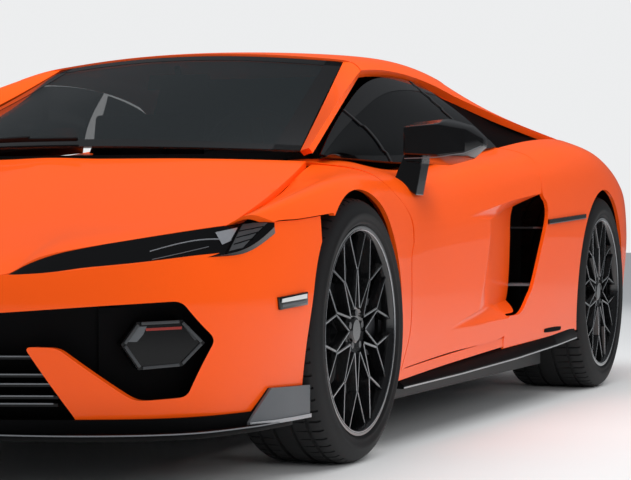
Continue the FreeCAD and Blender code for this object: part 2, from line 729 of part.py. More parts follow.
def block(low, high):
    """Box between two drawn corners, its height kept from the real floor upwards."""
    a, b = fit(*low), fit(*high)
    return Part.makeBox(b.x - a.x, b.y - a.y, b.z - a.z, a)


def on_floor(low_x, low_y, high_x, high_y, top):
    a, b = fit(low_x, low_y, 0), fit(high_x, high_y, top)
    return Part.makeBox(b.x - a.x, b.y - a.y, b.z - floor_low, Vector(a.x, a.y, floor_low))


TUB_FRONT, TUB_REAR = -1685, 1690
tub_plate = Part.makeBox(1080 * WIDE, along(TUB_REAR) - along(TUB_FRONT), size("floor_thickness"),
                         Vector(-540 * WIDE, along(TUB_FRONT), floor_low))
tub_parts = [
    on_floor(540, -860, 790, 900, 148 / TALL),
    on_floor(790, -830, 878, 880, 205),
    on_floor(-700, -940, 700, -900, 760),
    on_floor(-700, 340, 700, 375, 860),
    on_floor(-150, -900, 150, 340, 330),
    on_floor(400, TUB_FRONT, 460, -900, 480),
    on_floor(380, 960, 440, TUB_REAR, 560),
]
tub = tub_plate
for piece in tub_parts:
    tub = tub.fuse(piece)
    tub = tub.fuse(mirrored(piece))
add_feature("chassis_tub", tub)

# Dashboard: a rounded shelf behind the cowl, with the column's nacelle.
dash_section = [(-890, 700), (-890, 800), (-780, 825), (-600, 800), (-560, 740), (-640, 640), (-780, 600)]
DASH_HALF = 600
dash_points = [fit(-DASH_HALF, y, z) for y, z in dash_section]
dash = prism(dash_points, ACROSS * 2 * DASH_HALF * WIDE)
console = block((-120, -640, 335), (120, 100, 470))
STEERING_PLACE, STEERING_TILT = fit(370, -500, 790), -68
column_hole = Part.makeCylinder(size("steering_column_radius") + size("bead_clearance"), 400)
column_hole.Placement = FreeCAD.Placement(STEERING_PLACE, FreeCAD.Rotation(ACROSS, STEERING_TILT + 180))
add_feature("dashboard", solid_of(dash.fuse(console).cut(column_hole)))

# Seats: a shell with bolsters on each side of the tunnel.
SEAT_MIDDLE, SEAT_HALF = 370, 215
SEAT_SIDE = [(-520, 165), (-540, 300), (-500, 345), (-120, 300), (-60, 330), (150, 800), (190, 1010), (245, 1010), (300, 860), (90, 165)]
seat_points = [Vector((SEAT_MIDDLE - SEAT_HALF) * WIDE, along(y), z * TALL) for y, z in SEAT_SIDE]
seat = prism(seat_points, Vector(2 * SEAT_HALF * WIDE, 0, 0))
hollow = block((SEAT_MIDDLE - 150, -560, 325), (SEAT_MIDDLE + 150, -120, 400))
add_feature("seats", both_sides(seat.cut(hollow)))

# Rear window: an upright pane behind the seats.
window_points = [fit(-480, 395, 870), fit(480, 395, 870), fit(420, 430, 1140), fit(-420, 430, 1140)]
add_feature("rear_window", prism(window_points, Vector(0, size("glass_thickness"), 0)))


def bind(obj, **expressions):
    for name, expression in expressions.items():
        obj.setExpression(name.replace("__", "."), expression)


# Engine: one plain block at its real place and size.
engine = doc.addObject("Part::Box", "engine_block")
bind(engine, Length="Sizes.engine_width", Width="Sizes.engine_length", Height="Sizes.engine_depth",
     Placement__Base__x="-Sizes.engine_width / 2",
     Placement__Base__z="Sizes.floor_height + Sizes.floor_thickness")
engine.Placement = FreeCAD.Placement(Vector(0, along(430), 0), FreeCAD.Rotation())


# Bodies of revolution about the axle, drawn in the sheet's sizes at the car's middle plane
# and then carried to the wheel's place.
def new_body(name):
    body = doc.addObject("PartDesign::Body", name)
    body.Label = name
    return body


def origin_plane(body, role):
    return next(f for f in body.Origin.OriginFeatures if f.Role == role)


def new_sketch(body, name, role):
    sketch = body.newObject("Sketcher::SketchObject", name)
    sketch.AttachmentSupport = (origin_plane(body, role), "")
    sketch.MapMode = "FlatFace"
    return sketch


def draw(sketch, points):
    corners = [Vector(x, y, 0) for x, y in points]
    for a, b in zip(corners, corners[1:] + corners[:1]):
        sketch.addGeometry(Part.LineSegment(a, b), False)


def revolve(body, name, points):
    """Ring about the X axis from a section of (x, radius) places."""
    sketch = new_sketch(body, name + "_section", "XY_Plane")
    draw(sketch, points)
    ring = body.newObject("PartDesign::Revolution", name)
    ring.Profile = sketch
    ring.ReferenceAxis = (origin_plane(body, "X_Axis"), [""])
    ring.Angle = 360
    sketch.Visibility = False
    return ring


WHEELS = [
    ("front", FRONT_WHEEL, "front_tyre_radius", "front_tyre_width", "front_rim_radius", "front_disc_radius"),
    ("rear", REAR_WHEEL, "rear_tyre_radius", "rear_tyre_width", "rear_rim_radius", "rear_disc_radius"),
]


def tyre_section(radius, width, bore):
    half = width / 2
    return [
        (-half + 10, bore), (-half, bore + 26), (-half + 7, radius - 26), (-half + 30, radius),
        (half - 30, radius), (half - 7, radius - 26), (half, bore + 26), (half - 10, bore),
    ]


def rim_section(radius, width, wall):
    half = width / 2
    return [(-half, radius - wall), (-half, radius), (half, radius), (half, radius - wall)]


def spoke_outline(rim_radius, hub_radius):
    """Outline of one Y spoke, stem upwards, in the plane of the wheel."""
    node = rim_radius * 0.56
    reach = rim_radius
    lean = rim_radius * 0.155
    return [
        (-9, hub_radius - 8), (-6, node - 4), (-lean - 6, reach), (-lean + 6, reach),
        (0, node + 16), (lean - 6, reach), (lean + 6, reach), (6, node - 4), (9, hub_radius - 8),
    ]


def place_body(body, centre, side):
    turn = FreeCAD.Rotation(UP, 0 if side > 0 else 180)
    body.Placement = FreeCAD.Placement(Vector(centre.x * side, centre.y, centre.z), turn)


def make_wheel(end, side_name, side, centre, tyre_radius, tyre_width, rim_radius, disc_radius):
    tyre = new_body(f"tyre_{end}_{side_name}")
    revolve(tyre, f"tyre_ring_{end}_{side_name}",
            tyre_section(size(tyre_radius), size(tyre_width), size(rim_radius) + size("bead_clearance")))
    place_body(tyre, centre, side)

    half = size(tyre_width) / 2 - size("rim_inset")
    rim = new_body(f"rim_{end}_{side_name}")
    revolve(rim, f"rim_barrel_{end}_{side_name}",
            rim_section(size(rim_radius), 2 * half, size("rim_wall")))
    face = half - size("spoke_inset")
    depth = size("spoke_depth")
    spoke_sketch = new_sketch(rim, f"spoke_{end}_{side_name}", "YZ_Plane")
    spoke_sketch.AttachmentOffset = FreeCAD.Placement(Vector(0, 0, face - depth), FreeCAD.Rotation())
    draw(spoke_sketch, spoke_outline(size(rim_radius) - size("rim_wall") + 3, size("hub_radius")))
    spoke = rim.newObject("PartDesign::Pad", f"spoke_pad_{end}_{side_name}")
    spoke.Profile = spoke_sketch
    spoke.setExpression("Length", "Sizes.spoke_depth")
    hub_sketch = new_sketch(rim, f"hub_{end}_{side_name}", "YZ_Plane")
    hub_sketch.AttachmentOffset = FreeCAD.Placement(Vector(0, 0, face - depth - 24), FreeCAD.Rotation())
    hub_sketch.addGeometry(Part.Circle(Vector(0, 0, 0), UP, size("hub_radius")), False)
    hub = rim.newObject("PartDesign::Pad", f"hub_pad_{end}_{side_name}")
    hub.Profile = hub_sketch
    hub.Length = depth + 18
    spokes = rim.newObject("PartDesign::PolarPattern", f"spokes_{end}_{side_name}")
    spokes.Originals = [spoke]
    spokes.Axis = (origin_plane(rim, "X_Axis"), [""])
    spokes.Angle = 360
    spokes.setExpression("Occurrences", "Sizes.spoke_count")
    rim.Tip = spokes
    place_body(rim, centre, side)

    disc = new_body(f"disc_{end}_{side_name}")
    disc_face = face - size("disc_gap") - size("disc_thickness")
    hat = [(disc_face, 50), (disc_face, size(disc_radius)), (disc_face + size("disc_thickness"), size(disc_radius)),
           (disc_face + size("disc_thickness"), 95), (face - depth - 24.3, 95), (face - depth - 24.3, 50)]
    revolve(disc, f"disc_ring_{end}_{side_name}", hat)
    place_body(disc, centre, side)
    return disc_face, face - depth - 24


disc_faces = {}
for end, centre, *names in WHEELS:
    for side_name, side in (("left", 1), ("right", -1)):
        disc_faces[end] = make_wheel(end, side_name, side, centre, *names)
doc.recompute()


# Uprights with their calipers: the front pair steers, the rear pair is fixed.
def upright(centre, disc_inner, hub_face, disc_radius, arm_end):
    inner_x = centre.x + disc_inner
    hub = Part.makeCylinder(48, inner_x - 8 - arm_end, Vector(arm_end, centre.y, centre.z), ACROSS)
    axle_length = hub_face - size("bead_clearance") - disc_inner + 10
    axle = Part.makeCylinder(30, axle_length, Vector(inner_x - 10, centre.y, centre.z), ACROSS)
    post = Part.makeBox(44, 70, 330, Vector(arm_end, centre.y - 35, centre.z - 150))
    caliper = Part.makeBox(size("disc_thickness") + 38, 86, 150,
                           Vector(inner_x - 22, centre.y + disc_radius - 60, centre.z - 75))
    groove = Part.makeCylinder(disc_radius + 6, size("disc_thickness") + 12,
                               Vector(inner_x - 6, centre.y, centre.z), ACROSS)
    arm = Part.makeBox(30, disc_radius - 30, 60, Vector(arm_end, centre.y + 20, centre.z - 30))
    bridge = Part.makeBox(inner_x - arm_end - 10, 40, 60, Vector(arm_end, centre.y + disc_radius - 45, centre.z - 30))
    return hub.fuse([axle, post, arm, bridge, caliper.cut(groove)])


ARM_END_FRONT = 715 * WIDE
ARM_END_REAR = 660 * WIDE
front_upright = upright(FRONT_WHEEL, *disc_faces["front"], size("front_disc_radius"), ARM_END_FRONT)
add_pair("knuckle", front_upright)
rear_upright = upright(REAR_WHEEL, *disc_faces["rear"], size("rear_disc_radius"), ARM_END_REAR)
add_feature("rear_uprights", both_sides(rear_upright))


# Wishbones: pairs of tubes from the side members to the uprights.
def rod(start, end):
    return Part.makeCylinder(size("arm_radius"), (end - start).Length, start, end - start)


def wishbone(centre, inner_x, outer_x, height, spread):
    tip = Vector(outer_x, centre.y, centre.z + height)
    shape = Part.makeSphere(22, tip)
    for way in (-1, 1):
        shape = shape.fuse(rod(Vector(inner_x, centre.y + way * spread, centre.z + height), tip))
    return shape


front_arms = wishbone(FRONT_WHEEL, 461 * WIDE, ARM_END_FRONT - 36, -110, 150)
front_arms_high = wishbone(FRONT_WHEEL, 461 * WIDE, ARM_END_FRONT - 36, 120, 120)
rear_arms = wishbone(REAR_WHEEL, 441 * WIDE, ARM_END_REAR - 24, -120, 190)
rear_arms_high = wishbone(REAR_WHEEL, 441 * WIDE, ARM_END_REAR - 24, 130, 160)
for name, low_arm, high_arm in (
    ("front_arms", front_arms, front_arms_high), ("rear_arms", rear_arms, rear_arms_high)
):
    add_feature(name, both_sides(Part.makeCompound([low_arm, high_arm]).cut(tub)))

# Steering wheel: a ring with a hub and three arms, tilted towards the driver on the left.
steering = new_body("steering_wheel")
steering_rim = steering.newObject("PartDesign::AdditiveTorus", "steering_ring")
steering_rim.setExpression("Radius1", "Sizes.steering_wheel_radius")
steering_rim.setExpression("Radius2", "Sizes.steering_rim_radius")
bar_sketch = new_sketch(steering, "steering_bars", "XY_Plane")
reach = size("steering_wheel_radius") - 4
bars = [(-reach, 20), (-60, 40), (60, 40), (reach, 20), (reach, -6), (60, -30), (18, -50),
        (14, -reach), (-14, -reach), (-18, -50), (-60, -30), (-reach, -6)]
draw(bar_sketch, bars)
bar_pad = steering.newObject("PartDesign::Pad", "steering_bar_pad")
bar_pad.Profile = bar_sketch
bar_pad.Length = 16
bar_pad.Midplane = True
column_sketch = new_sketch(steering, "steering_column", "XY_Plane")
column_sketch.addGeometry(Part.Circle(Vector(0, 0, 0), UP, size("steering_column_radius")), False)
column = steering.newObject("PartDesign::Pad", "steering_column_pad")
column.Profile = column_sketch
column.Length = 110
column.Reversed = True
steering.Placement = FreeCAD.Placement(STEERING_PLACE, FreeCAD.Rotation(ACROSS, STEERING_TILT))

doc.recompute()

NODES = [obj for obj in doc.Objects if obj.TypeId in ("Part::Feature", "PartDesign::Body", "Part::Box")]
for obj in doc.Objects:
    if "Invalid" in obj.State or "Error" in obj.State:
        raise RuntimeError(f"{obj.Name} failed: {obj.State}")
for node in NODES:
    if node.Shape.isNull() or not node.Shape.isValid():
        raise RuntimeError(f"{node.Label} has no valid shape")
for node in NODES:
    node.Shape.exportStep(f"parts/{node.Label}.step")
    print(node.Label, round(node.Shape.Volume / 1e6, 2), len(node.Shape.Solids))
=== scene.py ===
"""Low mid-engined two-seat coupe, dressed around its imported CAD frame."""

import json
import math

import bmesh
import bpy
import numpy as np
from mathutils import Matrix, Vector


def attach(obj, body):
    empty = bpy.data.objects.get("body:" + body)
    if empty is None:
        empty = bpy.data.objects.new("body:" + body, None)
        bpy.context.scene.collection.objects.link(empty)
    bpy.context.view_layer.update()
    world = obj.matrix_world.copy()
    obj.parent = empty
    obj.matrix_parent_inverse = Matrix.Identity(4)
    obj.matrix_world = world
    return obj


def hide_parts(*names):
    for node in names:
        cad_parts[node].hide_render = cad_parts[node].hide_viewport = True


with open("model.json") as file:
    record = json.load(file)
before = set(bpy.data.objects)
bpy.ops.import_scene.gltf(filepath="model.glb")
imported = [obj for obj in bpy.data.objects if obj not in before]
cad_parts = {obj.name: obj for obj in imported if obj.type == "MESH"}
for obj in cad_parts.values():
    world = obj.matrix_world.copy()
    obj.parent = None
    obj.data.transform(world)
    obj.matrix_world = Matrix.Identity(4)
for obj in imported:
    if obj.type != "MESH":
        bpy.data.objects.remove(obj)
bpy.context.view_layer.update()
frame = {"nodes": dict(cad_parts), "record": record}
nodes = frame["nodes"]
scene = bpy.context.scene
MM = 0.001
SIDES = ("left", "right")
FRONT_WHEEL, REAR_WHEEL = (861, -1278, 343), (835, 1380, 364)
FRONT_ARCH, REAR_ARCH = 365, 390
# Millimetres between opening panels, and along the seam of nose and fender
GAP = 5
SEAM = 3


# Materials
def linear(hex_colour):
    """Linear RGBA of an sRGB hex colour."""
    values = [int(hex_colour[i:i + 2], 16) / 255 for i in (0, 2, 4)]
    return [v / 12.92 if v <= 0.04045 else ((v + 0.055) / 1.055) ** 2.4 for v in values] + [1.0]


def add_node(tree, kind, settings=(), inputs=(), links=()):
    """Adds a node, sets its attributes and inputs, and links its inputs to sockets."""
    node = tree.nodes.new(kind)
    for name, value in dict(settings).items():
        setattr(node, name, value)
    for name, value in dict(inputs).items():
        node.inputs[name].default_value = value
    for name, socket in dict(links).items():
        tree.links.new(socket, node.inputs[name])
    return node


def math_node(tree, operation, *values):
    """Result of a Math node on sockets or numbers."""
    node = add_node(tree, "ShaderNodeMath", {"operation": operation})
    for place, value in zip(node.inputs, values):
        if isinstance(value, (int, float)):
            place.default_value = value
        else:
            tree.links.new(value, place)
    return node.outputs[0]


def new_tree(name, *sockets):
    """Geometry tree and its input sockets, each given by name, kind and perhaps a default."""
    tree = bpy.data.node_groups.new(name, "GeometryNodeTree")
    for socket_name, kind, *default in sockets:
        socket = tree.interface.new_socket(socket_name, in_out="INPUT", socket_type=f"NodeSocket{kind}")
        if default:
            socket.default_value = default[0]
    tree.interface.new_socket("Geometry", in_out="OUTPUT", socket_type="NodeSocketGeometry")
    return tree, add_node(tree, "NodeGroupInput").outputs


def end_tree(tree, socket):
    tree.links.new(socket, add_node(tree, "NodeGroupOutput").inputs[0])
    return tree


def finish_of(name, colour, roughness, metallic=0.0, **sockets):
    """Principled material; extra sockets are given by their names with underscores."""
    material = bpy.data.materials.new(name)
    material.use_nodes = True
    shader = material.node_tree.nodes["Principled BSDF"]
    shader.inputs["Base Color"].default_value = linear(colour)
    shader.inputs["Roughness"].default_value = roughness
    shader.inputs["Metallic"].default_value = metallic
    for socket, value in sockets.items():
        shader.inputs[socket.replace("_", " ")].default_value = value
    return material


def add_bump(material, texture, settings, inputs, height_mm, strength=1.0):
    """Relief from a texture on Object coordinates, its depth in millimetres."""
    tree = material.node_tree
    place = add_node(tree, "ShaderNodeTexCoord")
    pattern = add_node(tree, texture, settings, inputs, {"Vector": place.outputs["Object"]})
    output = pattern.outputs["Distance"] if "Distance" in pattern.outputs else pattern.outputs[0]
    bump = add_node(tree, "ShaderNodeBump", inputs={"Strength": strength, "Distance": height_mm * MM},
                    links={"Height": output})
    tree.links.new(bump.outputs["Normal"], tree.nodes["Principled BSDF"].inputs["Normal"])


# Two-stage gloss orange: a saturated base under a thin clear coat.
paint = finish_of("orange_clearcoat_paint", "FF5A0E", 0.45, Coat_Weight=0.4, Coat_Roughness=0.03,
                  Specular_IOR_Level=0.1)
# Glossy black ABS: near-black under a thin, sharp coat.
gloss_black = finish_of("gloss_black_abs", "070708", 0.14, Coat_Weight=0.3, Coat_Roughness=0.04)
# Satin black moulded polypropylene: dark with a soft, wide highlight.
satin_black = finish_of("satin_black_moulding", "0B0B0C", 0.5, Specular_IOR_Level=0.3)
# Laminated screen: dark tinted glass that lets the cabin show through.
screen_glass = finish_of("tinted_laminated_glass", "1A2022", 0.02, Alpha=0.6)
# Privacy glass: nearly black and nearly opaque, its reflections sharp but weak.
side_glass = finish_of("privacy_glass", "050607", 0.05, Alpha=0.96, Specular_IOR_Level=0.12)
# Black ceramic frit printed round the edge of the glass.
frit = finish_of("ceramic_frit_black", "0A0A0B", 0.08)
lamp_lens = finish_of("smoked_lamp_lens", "070708", 0.06, Specular_IOR_Level=0.3)
lamp_bright = finish_of("lamp_reflector_grey", "A9ABB0", 0.25, 0.6)
lamp_red = finish_of("lamp_red_bar", "8E2A22", 0.3)
tail_red = finish_of("tail_lens_red", "7E0808", 0.08, Coat_Weight=1.0)
# Forged aluminium painted gloss black, then machined along the edges to bare metal; these bright edges and
# the bright lip also paint the highlights along the spokes and rim.
rim_black = finish_of("rim_gloss_black", "0C0C0D", 0.16, 0.0, Coat_Weight=0.8)
machined_and_highlight = finish_of("machined_edge_and_painted_highlight", "A6A8AB", 0.26, 1.0)
forged = finish_of("forged_aluminium", "6E7074", 0.42, 1.0)
disc_steel = finish_of("ground_cast_iron_disc", "6A6B6D", 0.34, 1.0)
# Moulded tyre rubber: matt with a faint sheen.
rubber = finish_of("tyre_rubber", "161617", 0.72)
# Satin carbon tub, its near-black darkened further as painted shade under the skirts.
carbon_and_shade = finish_of("satin_carbon_tub_darkened_for_shade", "141415", 0.5)
trim = finish_of("soft_touch_trim", "151516", 0.7)
leather = finish_of("black_leather", "121213", 0.5)
exhaust_steel = finish_of("heat_tinted_steel", "8C7F74", 0.3, 1.0)
engine_cast = finish_of("cast_aluminium", "7A7B7D", 0.6, 1.0)
# Bright metal line along the skirt's lip and under the quarter's trim strip: painted highlights on those
# edges.
highlight_line = finish_of("bright_painted_highlight", "B9BBBD", 0.3, 1.0)
# Satin greys: end plates and lamp parts, slats and edge lines, vents and lamp rings, glass bars. The edge
# lines in slat grey are painted highlights on the splitter's lip, the grille slats and the mirror.
end_plate_grey = finish_of("satin_grey_paint", "5C5F62", 0.4, Specular_IOR_Level=0.3)
satin_grey_and_highlight = finish_of("satin_grey_and_painted_highlight", "7A7D80", 0.4, 0.5)
vent_grey = finish_of("dark_vent_grey", "3C3E40", 0.5)
bar_grey = finish_of("dark_frame_grey", "26282A", 0.35)
marker_clear = finish_of("clear_marker_reflector", "D8D8D6", 0.2)
mirror_silver = finish_of("silvered_mirror_glass", "C8CCD0", 0.03, 1.0)
# Hollows, liners and grooves: matt black that swallows light. Partly the liners' own black, partly painted
# shade: flat black sheets in the vent, the ducts and the lamp's grooves stand for their shaded depth.
liner_and_shade_black = finish_of("matt_black_liner_and_painted_shade", "060607", 0.85, Specular_IOR_Level=0.15)
skirt_black = finish_of("textured_black_skirt", "050506", 0.55, Specular_IOR_Level=0.15)
tail_glow = finish_of("tail_light_bar_red", "B01010", 0.25, Coat_Weight=0.6)
plate_white = finish_of("blank_plate_enamel", "E8E8E4", 0.35)
# Grain: leather about 1.2 mm, rubber about 3 mm, cabin trim about 1.5 mm.
add_bump(leather, "ShaderNodeTexVoronoi", {}, {"Scale": 1 / (1.2 * MM)}, 0.12)
add_bump(rubber, "ShaderNodeTexNoise", {}, {"Scale": 1 / (3 * MM)}, 0.1)
add_bump(trim, "ShaderNodeTexVoronoi", {}, {"Scale": 1 / (1.5 * MM)}, 0.1)

SLOT_FINISH = {
    "paint": paint, "gloss_black": gloss_black, "black_plastic": satin_black, "glass": side_glass,
    "lamp_glass": lamp_lens, "tail_lens": tail_red, "chassis": carbon_and_shade, "exhaust": exhaust_steel,
    "seat_leather": leather, "trim": trim, "engine": engine_cast, "alloy": forged,
    "tyre": rubber, "rim_black": rim_black, "disc": disc_steel,
}
slot_of = {}
for subpart in frame["record"]["subparts"]:
    slot_of[subpart["node"]] = subpart["material_slot"]
for name, node in nodes.items():
    node.data.materials.clear()
    node.data.materials.append(SLOT_FINISH[slot_of[name]])


# Shading of the CAD nodes: smooth over gentle curves, sharp at real edges.
def smoothing_tree():
    tree, start = new_tree(
        "smooth_gentle_edges", ("Geometry", "Geometry"), ("Sharp angle", "Float", math.radians(28))
    )
    merged = add_node(tree, "GeometryNodeMergeByDistance", inputs={"Distance": 0.00002},
                      links={"Geometry": start["Geometry"]})
    angle = add_node(tree, "GeometryNodeInputMeshEdgeAngle")
    gentle = math_node(tree, "LESS_THAN", angle.outputs["Unsigned Angle"], start["Sharp angle"])
    faces = add_node(tree, "GeometryNodeSetShadeSmooth", {"domain": "FACE"},
                     links={"Geometry": merged.outputs["Geometry"]})
    edges = add_node(tree, "GeometryNodeSetShadeSmooth", {"domain": "EDGE"},
                     links={"Geometry": faces.outputs["Geometry"], "Shade Smooth": gentle})
    return end_tree(tree, edges.outputs["Geometry"])


smooth_edges = smoothing_tree()
for node in nodes.values():
    modifier = node.modifiers.new("smooth_gentle_edges", "NODES")
    modifier.node_group = smooth_edges


# Measures of the visible skin in millimetres. Tail, deck and underside aren't in the photo and are guessed.
# Nose, bonnet, lens, door, intake, mirror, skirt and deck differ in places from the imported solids.
FLANK_LINES = ["sill", "lower", "middle", "swage", "shoulder", "crest", "inner"]
FLANK = [
    (-1960, (925, 215), (935, 330), (935, 460), (930, 575), (922, 608), (912, 622), (880, 606)),
    (-1640, (975, 215), (985, 330), (988, 460), (984, 590), (968, 650), (935, 692), (850, 658)),
    (-1278, (975, 215), (986, 330), (992, 470), (994, 610), (982, 695), (925, 752), (775, 716)),
    (-900, (955, 209), (962, 330), (965, 470), (962, 620), (945, 705), (885, 766), (732, 812)),
    (-640, (952, 213), (958, 325), (961, 470), (960, 630), (940, 702), (902, 744), (822, 772)),
    (-300, (954, 214), (960, 325), (963, 475), (963, 640), (944, 728), (908, 775), (834, 795)),
    (0, (957, 216), (964, 330), (968, 480), (969, 680), (948, 768), (908, 812), (832, 832)),
    (450, (965, 225), (972, 340), (978, 500), (979, 722), (958, 805), (912, 852), (812, 874)),
    (900, (975, 235), (985, 350), (992, 520), (993, 750), (974, 835), (925, 898), (826, 925)),
    (1380, (985, 235), (992, 360), (998, 540), (998, 760), (980, 850), (935, 908), (835, 946)),
    (1800, (962, 240), (972, 370), (980, 540), (976, 720), (952, 795), (905, 858), (800, 908)),
    (2250, (850, 260), (872, 380), (890, 540), (882, 700), (860, 775), (815, 840), (720, 880)),
]
SCOOP_LOW = 0.85
SCOOP_MOUTH, SCOOP_DEPTH = 390, 75
SCOOP_RAMP, SCOOP_LIP = 0.16, 0.1
SCOOP_EDGE = [(0, -474), (0.08, -330), (0.16, -165), (0.5, -112), (0.85, -55), (0.9, -70), (1, -309)]
SWAGE = FLANK_LINES.index("swage")
INNER = FLANK_LINES.index("inner")
DOOR_FRONT = [(-1052, 850), (-1004, 748), (-834, 649), (-807, 574), (-829, 518), (-829, 330), (-900, 212)]
DOOR_FOOT = [(-445, 232), (108, 251)]
DOOR_REAR = [
    (154, 327), (280, 334), (362, 384), (384, 470), (390, 560), (394, 640), (450, 684), (518, 740),
    (560, 900),
]
DOOR_LINES = [0, 0.45, 0.85, 1.2, 1.5, 1.85, 2.2, 2.5, 2.78, 3, 3.5, 4, 4.5, 5, 5.5, 6]
DOOR_CREASES = (2, 3, 8, 9)
AHEAD_OF_SCOOP = [-1052, -900, -760, -640]
ROUND_EDGE = [-60, -14, 0, 14, 60]
BEHIND_EDGE = [100, 220, 340, 450, 540, 640]
NOSE_EDGE = [
    (-2500, 501), (-2270, 502), (-2172, 521), (-2100, 534), (-2025, 546), (-1960, 553), (-1915, 559),
    (-1885, 564), (-1855, 580), (-1800, 619), (-1680, 628), (-1498, 643),
]
INTAKE_REAR = [
    (114, 215), (114, 247), (160, 320), (290, 327), (380, 380), (424, 416), (505, 528), (580, 640),
    (574, 692), (521, 742), (562, 900), (572, 1000),
]
NOSE_PLAN = [
    (0, -2360), (250, -2347), (450, -2300), (700, -2205), (870, -2085), (950, -1900), (985, -1700),
    (988, -1560),
]
NOSE_TOP = [(530, 46), (530, 46), (534, 46), (560, 44), (590, 40), (630, 30), (654, 22), (664, 16)]
NOSE_LEVELS = [(150, 53), (235, 30), (330, 12), (430, 0), (480, 3)]
NOSE_FOOT = 178
# Left half of the opening: its ends lie past the middle, so that the halves overlap and leave no strip.
NOSE_OPENING = [
    (-8, 120), (640, 120), (631, 179), (540, 344), (607, 342), (738, 229), (752, 222), (768, 221),
    (839, 226), (892, 357), (845, 445), (696, 435), (495, 420), (-8, 414),
]
BONNET = [
    (-2300, 505, 250, 504, 470, 503),
    (-2200, 542, 330, 532, 545, 530),
    (-2050, 586, 390, 572, 745, 576),
    (-1900, 622, 330, 603, 880, 608),
    (-1640, 690, 240, 672, 850, 668),
    (-1278, 776, 110, 768, 775, 732),
    (-1040, 840, 50, 834, 735, 790),
]
BONNET_COLUMNS = [
    ((0, -2302, 504), (0, -1166)),
    ((170, -2299, 504), (120, -1163)),
    ((340, -2286, 504), (240, -1154)),
    ((455, -2266, 503), (330, -1142)),
    ((516, -2250, 501), (390, -1132)),
    ((532, -2184, 546), (440, -1122)),
    ((685, -2092, 571), (550, -1095)),
    ((800, -1985, 597), (650, -1066)),
    ((892, -1872, 615), (733, -1038)),
]
FRONT_REACH, BONNET_CROWN = 0.35, 10
BONNET_SHARES = [0, 0.05, 0.12, 0.22, 0.35, 0.5, 0.66, 0.83, 1]
SCREEN = [
    ((0, -1150, 838), (350, -1100, 834), (694, -1000, 822)),
    ((0, -830, 955), (320, -795, 945), (605, -700, 896)),
    ((0, -540, 1060), (290, -510, 1048), (548, -420, 1018)),
    ((0, -235, 1168), (270, -220, 1158), (508, -170, 1136)),
]
ROOF = [
    ((0, -215, 1176), (270, -202, 1167), (508, -152, 1146), (560, -190, 1134), (606, -270, 1100)),
    ((0, 60, 1213), (270, 60, 1207), (505, 60, 1188), (566, 60, 1166), (606, 20, 1134)),
    ((0, 420, 1211), (270, 420, 1206), (498, 420, 1193), (560, 420, 1170), (606, 380, 1116)),
    ((0, 700, 1170), (270, 700, 1168), (496, 700, 1160), (566, 690, 1140), (628, 640, 1072)),
]
PILLAR = [
    ((696, -1003, 820), (722, -1030, 826), (744, -1056, 826)),
    ((612, -700, 900), (660, -735, 925), (700, -790, 932)),
    ((556, -420, 1022), (606, -460, 1036), (650, -532, 1022)),
    ((508, -160, 1142), (560, -195, 1132), (606, -275, 1098)),
]
BUTTRESS = [
    ((496, 690, 1160), (566, 680, 1140), (628, 632, 1074)),
    ((520, 900, 1110), (600, 890, 1085), (672, 850, 1035)),
    ((560, 1100, 1050), (660, 1080, 1030), (740, 1040, 995)),
    ((606, 1320, 998), (720, 1310, 982), (818, 1300, 950)),
    ((650, 1500, 962), (740, 1500, 956), (820, 1500, 938)),
    ((692, 1800, 928), (745, 1800, 922), (788, 1800, 905)),
    ((706, 2150, 903), (714, 2150, 899), (724, 2150, 890)),
]
GLASS = [
    ((-1008, 758, 802), (-1004, 756, 810)),
    ((-800, 786, 806), (-786, 704, 894)),
    ((-520, 826, 793), (-524, 660, 986)),
    ((-100, 832, 828), (-205, 606, 1090)),
    ((300, 820, 868), (85, 604, 1104)),
    ((540, 808, 888), (318, 604, 1094)),
]
GLASS_BULGE = 22
DECK = [
    ((0, 716, 1168), (250, 716, 1165), (476, 716, 1150)),
    ((0, 1100, 1100), (250, 1100, 1090), (535, 1100, 1030)),
    ((0, 1500, 1020), (280, 1500, 1010), (624, 1500, 965)),
    ((0, 1900, 955), (300, 1900, 950), (679, 1900, 915)),
    ((0, 2328, 922), (300, 2316, 920), (688, 2208, 896)),
]
HEADLAMP = [
    ((496, -2268, 496), (500, -2244, 506)),
    ((545, -2246, 500), (540, -2172, 548)),
    ((690, -2178, 515), (680, -2084, 575)),
    ((802, -2104, 528), (796, -1980, 599)),
    ((914, -1966, 548), (890, -1876, 618)),
    ((936, -1888, 562), (932, -1828, 624)),
    ((954, -1806, 611), (950, -1796, 621)),
]
SKIRT = [
    (-905, (880, 168), (965, 166), (968, 176), (940, 196), (880, 196)),
    (-400, (880, 172), (972, 170), (976, 180), (944, 208), (880, 214)),
    (200, (880, 182), (978, 180), (982, 190), (950, 226), (880, 232)),
    (700, (880, 196), (984, 196), (988, 206), (962, 250), (880, 256)),
    (985, (880, 206), (984, 208), (988, 218), (972, 262), (880, 266)),
]
SPLITTER = [(0, -2310), (300, -2298), (640, -2235), (850, -2100), (930, -1900), (955, -1720)]
SPLITTER_END = [(955, -1690), (-955, -1690)]
SPLITTER_TOP, BLADE_THICKNESS = 150, 14
